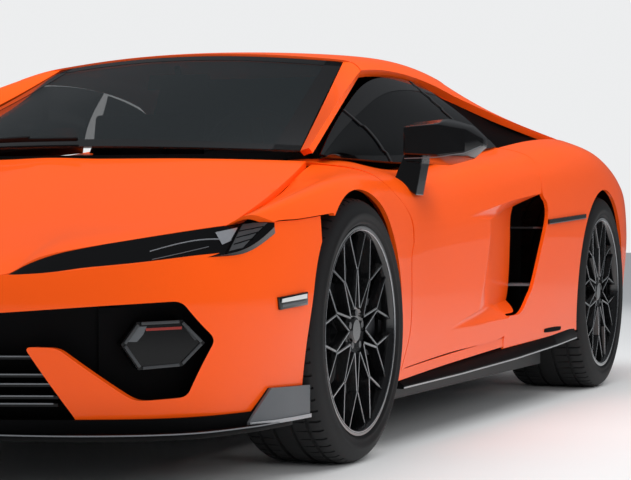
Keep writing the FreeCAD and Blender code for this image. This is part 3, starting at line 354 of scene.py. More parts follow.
# End plate: place (x, y) of each upright, and the height of its top
END_PLATE_TOPS = [
    (916, -1868, 156), (929, -1830, 194), (943, -1795, 232), (957, -1700, 229), (964, -1602, 226),
]
RISER_LEAN, RISER_DEPTH = 46, 60
GRILLE_LEVELS = [(SPLITTER_TOP, 110), (250, 96), (340, 80), (440, 70), (476, 12)]
SLAT_HEIGHTS = (211, 228, 255, 276, 316)
SLAT_THICKNESS, SLAT_LEAN = 7, 34
LAMP_MIDDLE = (803, -2090, 348)
HEXAGON = [(-96, 0), (-60, 50), (44, 54), (96, 2), (44, -50), (-56, -57)]
SHOULDER = [
    ((590, 330, 1084), (676, 440, 985), (800, 572, 874)),
    ((604, 600, 1062), (680, 640, 962), (806, 690, 892)),
    ((650, 850, 1014), (700, 870, 935), (812, 880, 914)),
    ((720, 1080, 972), (745, 1080, 930), (818, 1080, 926)),
    ((800, 1310, 940), (812, 1310, 934), (826, 1310, 932)),
]
DUCT_WALL = [(862, 402), (886, 402), (800, 900), (776, 900)]
DUCT_LOW, DUCT_HIGH = 300, 735
INTAKE_BLADES = [
    # name, corners (x, y), underside, thickness
    ("blade", ((862, 404), (968, 436), (968, 560), (836, 560)), 411, 8),
    ("upper_blade", ((862, 404), (966, 452), (966, 600), (836, 600)), 606, 6),
]
MIRROR = [
    (905, (-735, 818), (-620, 796), (-580, 850), (-625, 915), (-735, 896)),
    (1010, (-742, 812), (-620, 788), (-575, 852), (-625, 924), (-742, 902)),
    (1085, (-715, 822), (-625, 806), (-590, 850), (-630, 902), (-715, 888)),
    (1123, (-668, 842), (-632, 838), (-618, 850), (-632, 866), (-668, 862)),
]
MIRROR_FOOT = [
    ((885, -760, 745), (952, -760, 700), (952, -690, 700), (885, -690, 745)),
    ((905, -720, 825), (960, -720, 825), (960, -640, 825), (905, -640, 825)),
]
TAIL_LAMP = [(560, 745), (600, 795), (760, 795), (800, 745), (760, 700), (600, 700)]
FENDER_STATIONS = [-1990, -1880, -1760, -1640, -1460, -1278, -1100, -900, -790]
QUARTER_STATIONS = [90, 250, 450, 650, 850, 1050, 1250, 1450, 1650, 1850, 2050, 2240]


def smooth(table, at):
    """Value at a place in a table of (place, value, ...) rows, on a smooth curve through them."""
    last = len(table) - 1
    k = 0
    while k < last - 1 and at > table[k + 1][0]:
        k += 1
    a, b = table[k], table[k + 1]
    span = b[0] - a[0]
    part = (at - a[0]) / span
    values = []
    for i in range(1, len(a)):
        chord = (b[i] - a[i]) / span
        before = (a[i] - table[k - 1][i]) / (a[0] - table[k - 1][0]) if k else chord
        after = (table[k + 2][i] - b[i]) / (table[k + 2][0] - b[0]) if k + 2 <= last else chord
        start, end = (before + chord) / 2 * span, (chord + after) / 2 * span
        values.append(
            (2 * part**3 - 3 * part**2 + 1) * a[i]
            + (part**3 - 2 * part**2 + part) * start
            + (3 * part**2 - 2 * part**3) * b[i]
            + (part**3 - part**2) * end
        )
    return values


def steps(low, high, count):
    return [low + (high - low) * i / count for i in range(count + 1)]


def both_sides(line):
    """Line from the middle outwards, with its mirror image ahead of it."""
    return [(-x, *rest) for x, *rest in reversed(line[1:])] + list(line)


def mirrored_rows(rows):
    return [both_sides(row) for row in rows]


def mirrored_columns(half):
    """Grid of upright lines from the middle outwards, with their mirror images ahead of them."""
    return [[(-x, y, z) for x, y, z in row] for row in reversed(half[1:])] + half


def flank(y, line):
    """Point on the left flank at a station and a place between the named lines."""
    at_station = []
    for i in range(len(FLANK_LINES)):
        column = [(row[0], *row[1 + i]) for row in FLANK]
        at_station.append((i, *smooth(column, y)))
    return smooth(at_station, line)


def flank_grid(stations, lines, depth=None):
    grid = []
    for y in stations:
        row = []
        for line in lines:
            x, z = flank(y, line)
            row.append((x - (depth(y, line) if depth else 0), y, z))
        grid.append(row)
    return grid


def scoop_share(line):
    return min(max((line - SCOOP_LOW) / (SWAGE - SCOOP_LOW), 0), 1)


def scoop_edge(line):
    """Station of the scoop's front edge on a line."""
    share = scoop_share(line)
    for (low, low_y), (high, high_y) in zip(SCOOP_EDGE, SCOOP_EDGE[1:]):
        if share <= high:
            return low_y + (high_y - low_y) * (share - low) / (high - low)


def scoop(y, line):
    """Depth of the door's scoop at a station and a line."""
    share, edge = scoop_share(line), scoop_edge(line)
    grown = max((y - edge) / (SCOOP_MOUTH - edge), 0)
    return SCOOP_DEPTH * grown * min(1, share / SCOOP_RAMP, (1 - share) / SCOOP_LIP)


def door_grid():
    columns = []
    for line in DOOR_LINES:
        stations = AHEAD_OF_SCOOP + [scoop_edge(line) + step for step in ROUND_EDGE] + BEHIND_EDGE
        columns.append([row[0] for row in flank_grid(stations, [line], scoop)])
    return [list(row) for row in zip(*columns)]


def nose_normal(k):
    before, after = NOSE_PLAN[max(k - 1, 0)], NOSE_PLAN[min(k + 1, len(NOSE_PLAN) - 1)]
    direction = Vector((after[0] - before[0], after[1] - before[1], 0))
    return Vector((-direction.y, direction.x, 0)).normalized() if k else Vector((0, 1, 0))


def nose_point(k, z, lean):
    x, y = NOSE_PLAN[k]
    inward = nose_normal(k) * lean
    return (x + inward.x, y + inward.y, z)


def nose_grid(levels):
    half = []
    for k in range(len(NOSE_PLAN)):
        half.append([nose_point(k, z, lean) for z, lean in levels + [NOSE_TOP[k]]])
    return mirrored_columns(half)


def bonnet_height(x, y):
    middle_z, crease_x, crease_z, edge_x, edge_z = smooth(BONNET, y)
    if x < crease_x:
        return middle_z + (crease_z - middle_z) * x / crease_x
    part = min((x - crease_x) / (edge_x - crease_x), 1)
    return crease_z + (edge_z - crease_z) * part + BONNET_CROWN * math.sin(math.pi * part)


def bonnet_half_row(share):
    places = [[a + (b - a) * share for a, b in zip(front, rear)] for front, rear in BONNET_COLUMNS]
    edge_x, edge_y = places[-1]
    wanted = flank(edge_y, INNER)[0] - GAP
    row = []
    for k, (x, y) in enumerate(places):
        front = BONNET_COLUMNS[k][0]
        x *= 1 + (wanted / edge_x - 1) * k / (len(BONNET_COLUMNS) - 1)
        lift = front[2] - bonnet_height(front[0], front[1])
        row.append((x, y, bonnet_height(x, y) + lift * max(1 - share / FRONT_REACH, 0) ** 2))
    return row


# Surfaces
def weights(count, degree, shares):
    """Weights of a clamped spline's control points at shares of its length."""
    top = count - degree
    knots = [0.0] * degree + [float(i) for i in range(top + 1)] + [float(top)] * degree
    table = np.zeros((len(shares), count))
    for row, share in enumerate(shares):
        t = min(share * top, top - 1e-9)
        values = [1.0 if low <= t < high else 0.0 for low, high in zip(knots, knots[1:])]
        for d in range(1, degree + 1):
            for i in range(len(knots) - 1 - d):
                rise, fall = knots[i + d] - knots[i], knots[i + d + 1] - knots[i + 1]
                left = (t - knots[i]) / rise * values[i] if rise else 0
                right = (knots[i + d + 1] - t) / fall * values[i + 1] if fall else 0
                values[i] = left + right
        table[row] = values[:count]
    return table


def spread(grid, along, across, creases=()):
    """Dense points of the spline surface over a control grid, in metres."""
    poles = np.array(grid, float) * MM
    bounds = [0, *creases, len(grid[0]) - 1]
    lengthwise = weights(len(grid), min(3, len(grid) - 1), steps(0, 1, along))
    strips = []
    for low, high in zip(bounds, bounds[1:]):
        strip = poles[:, low:high + 1]
        count = max(2, round(across * (high - low) / bounds[-1]))
        sideways = weights(high - low + 1, min(3, high - low), steps(0, 1, count))
        points = np.einsum("ui,ijk,vj->uvk", lengthwise, strip, sideways)
        strips.append(points if low == 0 else points[:, 1:])
    return np.concatenate(strips, axis=1)


def new_object(name, mesh):
    piece = bpy.data.objects.new(name, mesh)
    scene.collection.objects.link(piece)
    return piece


def closed_mesh(name, points, faces):
    """Mesh of points in metres, its doubles merged and its faces turned outwards."""
    mesh = bpy.data.meshes.new(name)
    mesh.from_pydata([tuple(p) for p in points], [], faces)
    mesh.validate()
    shape = bmesh.new()
    shape.from_mesh(mesh)
    bmesh.ops.remove_doubles(shape, verts=shape.verts, dist=1e-6)
    bmesh.ops.recalc_face_normals(shape, faces=shape.faces)
    shape.to_mesh(mesh)
    shape.free()
    return mesh


def thick_surface(name, points, thickness_mm, inwards=None, side=-1):
    """Closed mesh between a surface and its offset."""
    rows, columns, _ = points.shape
    if inwards is None:
        lengthwise = np.gradient(points, axis=0)
        sideways = np.gradient(points, axis=1)
        away = np.cross(lengthwise, sideways)
        away /= np.linalg.norm(away, axis=2, keepdims=True)
        away *= side
    else:
        away = np.array(inwards, float)
    inner = points + away * thickness_mm * MM
    corners = np.concatenate([points.reshape(-1, 3), inner.reshape(-1, 3)])
    inside = rows * columns
    faces = []
    for i in range(rows - 1):
        for j in range(columns - 1):
            a = i * columns + j
            faces.append((a, a + 1, a + columns + 1, a + columns))
            faces.append((inside + a, inside + a + columns, inside + a + columns + 1, inside + a + 1))
    rim = list(range(columns))
    rim += [i * columns + columns - 1 for i in range(1, rows)]
    rim += [(rows - 1) * columns + j for j in range(columns - 2, -1, -1)]
    rim += [i * columns for i in range(rows - 2, 0, -1)]
    for a, b in zip(rim, rim[1:] + rim[:1]):
        faces.append((a, b, inside + b, inside + a))
    return closed_mesh(name, corners, faces)


def curve_through(places, count=10):
    """Smooth curve through places: each stretch follows its neighbours' direction."""
    points = [np.array(p, float) for p in places]
    full = [2 * points[0] - points[1], *points, 2 * points[-1] - points[-2]]
    curve = []
    for before, a, b, after in zip(full, full[1:], full[2:], full[3:]):
        for t in steps(0, 1, count)[:-1]:
            curve.append(0.5 * (
                2 * a + (b - before) * t + (2 * before - 5 * a + 4 * b - after) * t**2
                + (3 * a - before - 3 * b + after) * t**3
            ))
    curve.append(points[-1])
    return [tuple(p) for p in curve]


def ring_faces(count, i, j):
    """Faces between ring i and ring j of as many points each."""
    faces = []
    for a in range(count):
        b = (a + 1) % count
        faces.append((i * count + a, i * count + b, j * count + b, j * count + a))
    return faces


def solid_of(name, rings):
    """Closed solid through rings of as many points each, in metres."""
    count = len(rings[0])
    points = [p for ring in rings for p in ring]
    faces = [tuple(range(count)), tuple(range(len(points) - 1, len(points) - count - 1, -1))]
    for i in range(len(rings) - 1):
        faces += ring_faces(count, i, i + 1)
    return closed_mesh(name, points, faces)


def prism_mesh(name, outline, direction):
    """Closed prism over a flat outline of points in metres."""
    return solid_of(name, [[Vector(p) for p in outline], [Vector(p) + Vector(direction) for p in outline]])


def side_prism(places, low_x=300, high_x=1300):
    outline = [(low_x * MM, y * MM, z * MM) for y, z in places]
    return prism_mesh("cutter", outline, ((high_x - low_x) * MM, 0, 0))


def front_prism(places):
    outline = [(x * MM, -2.6, z * MM) for x, z in places]
    return prism_mesh("cutter", outline, (0, 0.8, 0))


def arch_cutter(centre, radius, count=160):
    _, y, z = centre
    turn = [2 * math.pi * i / count for i in range(count)]
    return side_prism([(y + radius * math.cos(a), z + radius * math.sin(a)) for a in turn], 500, 1200)


def evaluated(piece):
    """Plain mesh of a piece with its modifiers applied."""
    bpy.context.view_layer.update()
    graph = bpy.context.evaluated_depsgraph_get()
    return bpy.data.meshes.new_from_object(piece.evaluated_get(graph))


def with_modifier(mesh, kind, **settings):
    """Plain mesh of a shape after one modifier with these settings."""
    piece = new_object("work", mesh)
    modifier = piece.modifiers.new("work", kind)
    for name, value in settings.items():
        setattr(modifier, name, value)
    mesh = evaluated(piece)
    bpy.data.objects.remove(piece)
    return mesh


def trim_mesh(mesh, cutters, keep=None):
    """What lies inside the keep mesh, where one is given, less each cutter in turn."""
    steps_to_do = [("DIFFERENCE", cutter) for cutter in cutters]
    if keep is not None:
        steps_to_do.insert(0, ("INTERSECT", keep))
    for operation, cutter_mesh in steps_to_do:
        cutter = new_object("work_cutter", cutter_mesh)
        mesh = with_modifier(mesh, "BOOLEAN", operation=operation, object=cutter, solver="EXACT")
        bpy.data.objects.remove(cutter)
    return mesh


def largest_part(mesh):
    """Keeps the largest loose part of a mesh."""
    shape = bmesh.new()
    shape.from_mesh(mesh)
    left, parts = set(shape.verts), []
    while left:
        found, queue = set(), [left.pop()]
        while queue:
            vert = queue.pop()
            found.add(vert)
            for edge in vert.link_edges:
                other = edge.other_vert(vert)
                if other in left:
                    left.discard(other)
                    queue.append(other)
        parts.append(found)
    keep = max(parts, key=len)
    bmesh.ops.delete(shape, geom=[v for v in shape.verts if v not in keep], context="VERTS")
    shape.to_mesh(mesh)
    shape.free()
    return mesh


def mirrored_mesh(mesh):
    copy = mesh.copy()
    copy.transform(Matrix.Diagonal((-1, 1, 1, 1)))
    copy.flip_normals()
    return copy


def bevelled(mesh, width_mm, segments=2, degrees=50):
    return with_modifier(mesh, "BEVEL", width=width_mm * MM, segments=segments, limit_method="ANGLE",
                         angle_limit=math.radians(degrees))


def settle(name, mesh, body, material, replaced=(), degrees=30):
    """Finished piece: shaded, painted, riding on its body and standing for its CAD nodes."""
    mesh.materials.clear()
    mesh.materials.append(material)
    mesh.shade_smooth()
    mesh.set_sharp_from_angle(angle=math.radians(degrees))
    mesh.name = name
    piece = new_object(name, mesh)
    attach(piece, body)
    if replaced:
        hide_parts(*replaced)
    return piece


def pair(name, mesh, material, bodies="body", replaced=None, degrees=30):
    """Left piece and its mirror image; names in bodies and replaced take the side's name."""
    pieces = []
    for side, side_mesh in zip(SIDES, (mesh, mirrored_mesh(mesh))):
        node = (replaced.format(side=side),) if replaced else ()
        body = bodies.format(side=side)
        pieces.append(settle(f"{name}_{side}", side_mesh, body, material, node, degrees))
    return pieces


# Body panels
FLANK_SKIN, FLANK_INWARDS = 16, (-0.75, 0, -0.66)
DOOR_SKIN, LID_SKIN, ROOF_SKIN, GLASS_SKIN = 93, 18, 26, 5
DOWNWARDS = (0, 0, -1)


def flank_panel(stations, along):
    points = spread(flank_grid(stations, steps(0, 6, 12)), along, 90)
    return thick_surface("panel", points, FLANK_SKIN, FLANK_INWARDS)


def moved(places, along):
    return [(y + along, z) for y, z in places]


door_front = curve_through(DOOR_FRONT)
door_foot = curve_through([DOOR_FRONT[-1], *DOOR_FOOT, DOOR_REAR[0]])[1:-1]
door_rear = curve_through(DOOR_REAR)
nose_edge = curve_through(NOSE_EDGE, 6)
fender_outline = [(y, z + SEAM) for y, z in nose_edge if y > -2000] + [(-1278, 400), (-938, 205)]
fender_outline += list(reversed(door_front)) + [(-1052, 1000), (-1960, 1000)]
fender_mesh = trim_mesh(
    flank_panel(FENDER_STATIONS, 150), [arch_cutter(FRONT_WHEEL, FRONT_ARCH)], side_prism(fender_outline)
)

door_mesh = thick_surface("door_panel", spread(door_grid(), 170, 130, DOOR_CREASES), DOOR_SKIN, (-1, 0, 0))
door_outline = moved(door_front, GAP) + [(y, z + GAP) for y, z in door_foot] + moved(door_rear, -GAP)
door_outline += [(550, 1000), (-1047, 1000)]
door_mesh = trim_mesh(door_mesh, [], side_prism(door_outline))
pair("door_skin", largest_part(door_mesh), paint, "door_{side}", "door_panel_{side}")

quarter_outline = INTAKE_REAR[:2] + curve_through(INTAKE_REAR[2:-1]) + [INTAKE_REAR[-1]]
quarter_outline += [(2240, 1000), (2240, 250), (1760, 250), (990, 235)]
quarter_mesh = trim_mesh(
    flank_panel(QUARTER_STATIONS, 190), [arch_cutter(REAR_WHEEL, REAR_ARCH)], side_prism(quarter_outline)
)
pair("quarter_skin", largest_part(quarter_mesh), paint, replaced="quarter_{side}")

# Bonnet
bonnet_rows = mirrored_rows([bonnet_half_row(share) for share in BONNET_SHARES])
bonnet_mesh = thick_surface("front_lid", spread(bonnet_rows, 110, 150), LID_SKIN, DOWNWARDS)


def shifted(mesh, x=0, y=0):
    """Plain copy of a mesh, moved by millimetres."""
    copy = mesh.copy()
    copy.materials.clear()
    copy.transform(Matrix.Translation((x * MM, y * MM, 0)))
    return copy


def rounded(places, radius, keep=()):
    """Outline with its corners rounded; the numbers in keep name corners left sharp."""
    curve = []
    for k, here in enumerate(places):
        corner = Vector(here)
        before, after = Vector(places[k - 1]), Vector(places[(k + 1) % len(places)])
        if k in keep:
            curve.append(tuple(corner))
            continue
        start = corner + (before - corner).normalized() * min(radius, (before - corner).length / 2.2)
        end = corner + (after - corner).normalized() * min(radius, (after - corner).length / 2.2)
        for t in steps(0, 1, 5):
            curve.append(tuple(start * (1 - t) ** 2 + corner * 2 * t * (1 - t) + end * t**2))
    return curve


# Nose
opening = rounded(NOSE_OPENING, 16, (0, len(NOSE_OPENING) - 1))
nose_mesh = thick_surface("front_bumper", spread(nose_grid(NOSE_LEVELS), 240, 70), 16)
END_PLATE = [(-1868, 150), (-1795, 232), (-1600, 226), (-1600, 150)]
cutters = [
    side_prism([(-2500, 60), (-1400, 60), (-1400, NOSE_FOOT), (-2500, NOSE_FOOT)], -1200, 1200),
    side_prism(nose_edge + [(-1498, 900), (-2500, 900)], -1200, 1200),
]
for sign in (1, -1):
    cutters.append(front_prism([(sign * x, z) for x, z in opening]))
    for cutter in (arch_cutter(FRONT_WHEEL, FRONT_ARCH), side_prism(END_PLATE, 880, 1000)):
        cutters.append(cutter if sign > 0 else mirrored_mesh(cutter))
cutters.append(shifted(bonnet_mesh, y=-GAP))
nose_mesh = largest_part(trim_mesh(nose_mesh, cutters))

# Headlamps: the smoked lens over each wedge
LAMP_INWARDS = Vector((-0.25, 0.77, -0.58))
lamp_rows = [[low, [(a + b) / 2 for a, b in zip(low, high)], high] for low, high in HEADLAMP]
lens_points = spread(lamp_rows, 80, 12)
lamp_mesh = thick_surface("headlamp", lens_points, 40, LAMP_INWARDS)
lamp_room = thick_surface("lamp_room", lens_points - np.array(LAMP_INWARDS) * 0.06, 130, LAMP_INWARDS)
# A longer chain of cuts leaves the lens nearly empty, so only these two are made.
lamp_mesh = largest_part(trim_mesh(lamp_mesh, [shifted(bonnet_mesh), shifted(nose_mesh)]))
fender_mesh = trim_mesh(fender_mesh, [shifted(bonnet_mesh, x=GAP), shifted(lamp_room)])
pair("fender_skin", largest_part(fender_mesh), paint, replaced="fender_{side}")
pair("headlamp_lens", lamp_mesh, lamp_lens, replaced="headlamps")
settle("nose_skin", nose_mesh, "body", paint, ("front_bumper",))
settle("bonnet_skin", bonnet_mesh, "front_lid", paint, ("front_lid",))

# Roof, pillars, buttresses and glass
roof_mesh = thick_surface("roof", spread(mirrored_rows(ROOF), 60, 110), ROOF_SKIN, side=1)
settle("roof_skin", roof_mesh, "body", paint, ("roof_shell",))
pair("pillar_skin", thick_surface("pillar", spread(PILLAR, 90, 16), 17, side=1), paint)
buttress_mesh = thick_surface("buttress", spread(BUTTRESS, 120, 30), ROOF_SKIN, side=1)
pair("buttress_skin", buttress_mesh, paint)
screen_points = spread(mirrored_rows(SCREEN), 60, 80)
screen_mesh = thick_surface("windscreen", screen_points, GLASS_SKIN, side=1)
settle("screen_glass", screen_mesh, "body", screen_glass, ("windscreen",))
deck_points = spread(mirrored_rows(DECK), 90, 80)
deck_mesh = thick_surface("engine_lid", deck_points, LID_SKIN, DOWNWARDS)
settle("deck_skin", deck_mesh, "engine_lid", paint, ("engine_lid",))
glass_rows = []
for low, high in GLASS:
    row = []
    for share in steps(0, 1, 4):
        y, x, z = [a + (b - a) * share for a, b in zip(low, high)]
        row.append((x + GLASS_BULGE * math.sin(math.pi * share), y, z))
    glass_rows.append(row)
glass_points = spread(glass_rows, 90, 24)
glass_mesh = thick_surface("door_glass", glass_points, GLASS_SKIN, (-0.8, 0, -0.6))
pair("side_glass", glass_mesh, side_glass, "door_{side}", "door_glass_{side}")


# Wheels
WHEELS = [
    # end, wheel's centre, tyre radius, tyre width, rim radius
    ("front", FRONT_WHEEL, 343, 255, 271.5),
    ("rear", REAR_WHEEL, 364, 324, 284),
]
SPOKE_COUNT, NUT_COUNT, TREAD_BLOCKS = 10, 5, 64


def lathe(name, section, centre, turns):
    """Closed ring from an (x, radius, tread) section; a turn is an angle and the depth its tread drops by."""
    points, faces = [], []
    for angle, drop in turns:
        for x, radius, tread in section:
            r = radius - drop * tread
            points.append(((centre[0] + x) * MM, (centre[1] + r * math.cos(angle)) * MM,
                           (centre[2] + r * math.sin(angle)) * MM))
    for i in range(len(turns)):
        faces += ring_faces(len(section), i, (i + 1) % len(turns))
    return closed_mesh(name, points, faces)


def plain_lathe(name, outline, centre, count):
    """Closed ring from an (x, radius) outline, without tread."""
    turns = [(2 * math.pi * i / count, 0) for i in range(count)]
    return lathe(name, [(x, radius, 0) for x, radius in outline], centre, turns)


def joined(name, meshes):
    shape = bmesh.new()
    for mesh in meshes:
        shape.from_mesh(mesh)
    mesh = bpy.data.meshes.new(name)
    shape.to_mesh(mesh)
    shape.free()
    return mesh


def tyre_mesh(centre, radius, width, bore):
    """Tyre with rounded shoulders, four round grooves and cross grooves in its shoulder blocks."""
    half = width / 2
    wall = curve_through([
        (half - 12, bore + 1), (half - 4, bore + 8), (half - 3, bore + 16), (half, bore + 30),
        (half - 4, radius - 32), (half - 13, radius - 13), (half - 30, radius - 2),
    ], 4)
    tread = []
    for share in (0.66, 0.24, -0.24, -0.66):
        x = share * (half - 22)
        tread += [(x + 6, radius), (x + 4, radius - 7), (x - 4, radius - 7), (x - 6, radius)]
    outline = wall + tread + [(-x, r) for x, r in reversed(wall)]
    section = []
    for x, r in outline:
        in_shoulder = r > radius - 6.5 and abs(x) > 0.3 * half
        section.append((x, r, 1 if in_shoulder else 0))
    turns = []
    for block in range(TREAD_BLOCKS):
        for share, drop in ((0, 0), (0.8, 0), (0.83, 5), (0.97, 5)):
            turns.append((2 * math.pi * (block + share) / TREAD_BLOCKS, drop))
    return lathe("tyre", section, centre, turns)


def polar_tree():
    """Repeats a shape evenly round the X axis."""
    tree, start = new_tree(
        "repeat_round_axle", ("Geometry", "Geometry"), ("Count", "Int"), ("Finish", "Material")
    )
    single = add_node(tree, "GeometryNodeGeometryToInstance", links={"Geometry": start["Geometry"]})
    copies = add_node(tree, "GeometryNodeDuplicateElements", {"domain": "INSTANCE"},
                      links={"Geometry": single.outputs[0], "Amount": start["Count"]})
    share = math_node(tree, "DIVIDE", copies.outputs["Duplicate Index"], start["Count"])
    turn = math_node(tree, "MULTIPLY", share, 2 * math.pi)
    angle = add_node(tree, "ShaderNodeCombineXYZ", links={"X": turn})
    spun = add_node(tree, "GeometryNodeRotateInstances",
                    links={"Instances": copies.outputs["Geometry"], "Rotation": angle.outputs[0]})
    real = add_node(tree, "GeometryNodeRealizeInstances", links={"Geometry": spun.outputs[0]})
    painted = add_node(tree, "GeometryNodeSetMaterial",
                       links={"Geometry": real.outputs[0], "Material": start["Finish"]})
    return end_tree(tree, painted.outputs[0])


repeat_round = polar_tree()


def with_tree(mesh, tree, **values):
    """Plain mesh of a shape after a node tree whose named inputs are set first."""
    piece = new_object("work", mesh)
    modifier = piece.modifiers.new("nodes", "NODES")
    modifier.node_group = tree
    for item in tree.interface.items_tree:
        if item.in_out == "INPUT" and item.name in values:
            modifier[item.identifier] = values[item.name]
    mesh = evaluated(piece)
    bpy.data.objects.remove(piece)
    return mesh


def leg(points, faces, start, end, widths, high, low):
    """Bar between two (y, z) places, narrower at its outer face than at its foot."""
    a, b = Vector(start), Vector(end)
    side = Vector((-(b - a).y, (b - a).x)).normalized()
    first = len(points)
    outer, foot = widths[0] / 2, widths[1] / 2
    for place in (a, b):
        for x, half in ((high, outer), (high, -outer), (low, -foot), (low, foot)):
            corner = place + side * half
            points.append((x * MM, corner.x * MM, corner.y * MM))
    for i in range(4):
        j = (i + 1) % 4
        faces.append((first + i, first + j, first + 4 + j, first + 4 + i))
    faces += [(first, first + 1, first + 2, first + 3), (first + 7, first + 6, first + 5, first + 4)]


def spoke_meshes(rim_radius, face):
    """One Y spoke: its black legs, and the bright machined line along the ridge of each, which also paints
    the ridge's highlight.
    """
    node, reach = rim_radius * 0.6, rim_radius - 11
    lean = 0.235 * reach
    tip = math.sqrt(reach**2 - lean**2)
    body, edge = ([], []), ([], [])
    for sign in (1, -1):
        inner_leg = ((sign * 17, 58), (sign * 2.5, node), 17)
        outer_leg = ((sign * 2, node - 6), (sign * lean, tip), 15)
        for start, end, foot in (inner_leg, outer_leg):
            leg(*body, start, end, (6, foot), face - 0.6, face - 26)
            leg(*edge, start, end, (2.6, 3.6), face + 0.4, face - 1.2)
    return [closed_mesh("spoke", points, faces) for points, faces in (body, edge)]


for end, centre, tyre_radius, tyre_width, rim_radius in WHEELS:
    wheel_body = f"wheel_{end}_{{side}}"
    mesh = tyre_mesh(centre, tyre_radius, tyre_width, rim_radius)
    pair(f"tyre_{end}_rubber", mesh, rubber, wheel_body, f"tyre_{end}_{{side}}", 35)
    h = tyre_width / 2 - 9
    face = h - 12
    barrel = plain_lathe("barrel", [
        (-h, rim_radius), (-h, rim_radius - 12), (-h + 20, rim_radius - 16), (0, rim_radius - 22),
        (h - 40, rim_radius - 21), (h - 16, rim_radius - 17), (h - 6, rim_radius - 14),
        (h - 1, rim_radius - 10), (h, rim_radius - 5), (h, rim_radius),
    ], centre, 144)
    hub = plain_lathe("hub", [
        (face - 50, 0.5), (face - 50, 66), (face - 10, 66), (face - 6, 62), (face - 11, 52), (face - 11, 36),
        (face - 5, 33), (face - 2, 28), (face - 2, 0.5),
    ], centre, 60)
    legs, edges = spoke_meshes(rim_radius, face)
    legs = with_tree(legs, repeat_round, Count=SPOKE_COUNT, Finish=rim_black)
    edges = with_tree(edges, repeat_round, Count=SPOKE_COUNT, Finish=machined_and_highlight)
    hexagon = [(10 * math.cos(a) * MM, (46 + 10 * math.sin(a)) * MM) for a in steps(0, 5 / 3 * math.pi, 5)]
    nut = solid_of("nut", [[(x * MM, y, z) for y, z in hexagon] for x in (face - 12, face - 3)])
    nuts = with_tree(nut, repeat_round, Count=NUT_COUNT, Finish=disc_steel)
    for mesh in (legs, edges, nuts):
        mesh.transform(Matrix.Translation([value * MM for value in centre]))
    lip = plain_lathe("lip", [
        (h - 3, rim_radius - 12), (h - 1, rim_radius - 12.5), (h + 0.6, rim_radius - 10.5),
        (h + 0.6, rim_radius - 8.5), (h - 2, rim_radius - 8.5),
    ], centre, 144)
    pair(f"rim_{end}_black", joined("rim", [barrel, hub, legs]), rim_black, wheel_body,
         f"rim_{end}_{{side}}")
    # Bright machined lines and lip: bare metal and painted highlights of the wheel.
    pair(f"rim_{end}_machined", joined("edges", [edges, lip]), machined_and_highlight, wheel_body)
    pair(f"rim_{end}_nuts", nuts, disc_steel, wheel_body)


# Thin bars, plates and solids between sections
def bar(path, width_mm, wide=(0, 0, 1), height_mm=2.0):
    """Closed bar along a path of places in millimetres; wide is the way of its width."""
    points = [Vector(p) for p in path]
    corners, faces = [], []
    wide = Vector(wide).normalized()
    for i, place in enumerate(points):
        ahead = (points[min(i + 1, len(points) - 1)] - points[max(i - 1, 0)]).normalized()
        out = ahead.cross(wide).normalized() * height_mm / 2
        side = wide * width_mm / 2
        corners += [place + side + out, place - side + out, place - side - out, place + side - out]
    for i in range(len(points) - 1):
        faces += ring_faces(4, i, i + 1)
    last = 4 * len(points)
    faces += [(0, 1, 2, 3), (last - 1, last - 2, last - 3, last - 4)]
    return closed_mesh("bar", [p * MM for p in corners], faces)


def plate(places, direction):
    """Flat plate over places in millimetres, as thick as its direction is long."""
    return prism_mesh("plate", [Vector(p) * MM for p in places], Vector(direction) * MM)


def loft(sections):
    """Closed solid through rings of as many places each, in millimetres."""
    return solid_of("loft", [[Vector(p) * MM for p in ring] for ring in sections])


def on_flank(y, z, proud=0.0):
    """Place on the left flank at a station and a height, up to the crest."""
    low, high = 0.0, 5.0
    for _ in range(24):
        middle = (low + high) / 2
        if flank(y, middle)[1] < z:
            low = middle
        else:
            high = middle
    return (flank(y, low)[0] + proud, y, z)


def band(points, rows, columns, lift_mm, thickness_mm, out):
    """Part of a dense surface, lifted along out and given a thickness."""
    part = points[rows[0]:rows[1], columns[0]:columns[1]] + np.array(out) * lift_mm * MM
    return thick_surface("band", part, thickness_mm, [-value for value in out])


# Splitter: the blade, the riser under the nose and the end plates
riser_line = [nose_point(k, 0, RISER_LEAN)[:2] for k in range(len(NOSE_PLAN) - 1)]
riser_line = curve_through(riser_line, 8)[:-4]
blade_line = curve_through(SPLITTER, 8)


def full_width(line, low, high, depth):
    """Wall that follows a plan line on both sides of the car."""
    whole = both_sides(line)
    ring = whole + [(x * 0.93, y + depth) for x, y in reversed(whole)]
    return prism_mesh("wall", [Vector((x, y, low)) * MM for x, y in ring], (0, 0, (high - low) * MM))


blade_outline = both_sides(blade_line) + SPLITTER_END
blade_foot = SPLITTER_TOP - BLADE_THICKNESS
blade_mesh = prism_mesh("blade", [Vector((x, y, blade_foot)) * MM for x, y in blade_outline],
                        (0, 0, BLADE_THICKNESS * MM))
arch = arch_cutter(FRONT_WHEEL, FRONT_ARCH)
splitter_mesh = trim_mesh(bevelled(blade_mesh, 3), [arch, mirrored_mesh(arch)])
settle("splitter_blade", splitter_mesh, "body", skirt_black, ("front_splitter",))
riser_mesh = full_width(riser_line, SPLITTER_TOP, NOSE_FOOT + 2, RISER_DEPTH)
settle("splitter_riser", riser_mesh, "body", liner_and_shade_black)
# A pale strip along the blade's top edge: a painted highlight on that edge.
pair("splitter_lip_highlight", bar([(x + 1, y - 1, 149) for x, y in blade_line[:-2]], 3), satin_grey_and_highlight)
plate_rows = []
for x, y, top in END_PLATE_TOPS:
    plate_rows.append([(x, y, z) for z in (SPLITTER_TOP, (SPLITTER_TOP + top) / 2, top)])
pair("splitter_end_plate", thick_surface("end_plate", np.array(plate_rows) * MM, 7, (-0.97, 0.23, 0)),
     end_plate_grey)
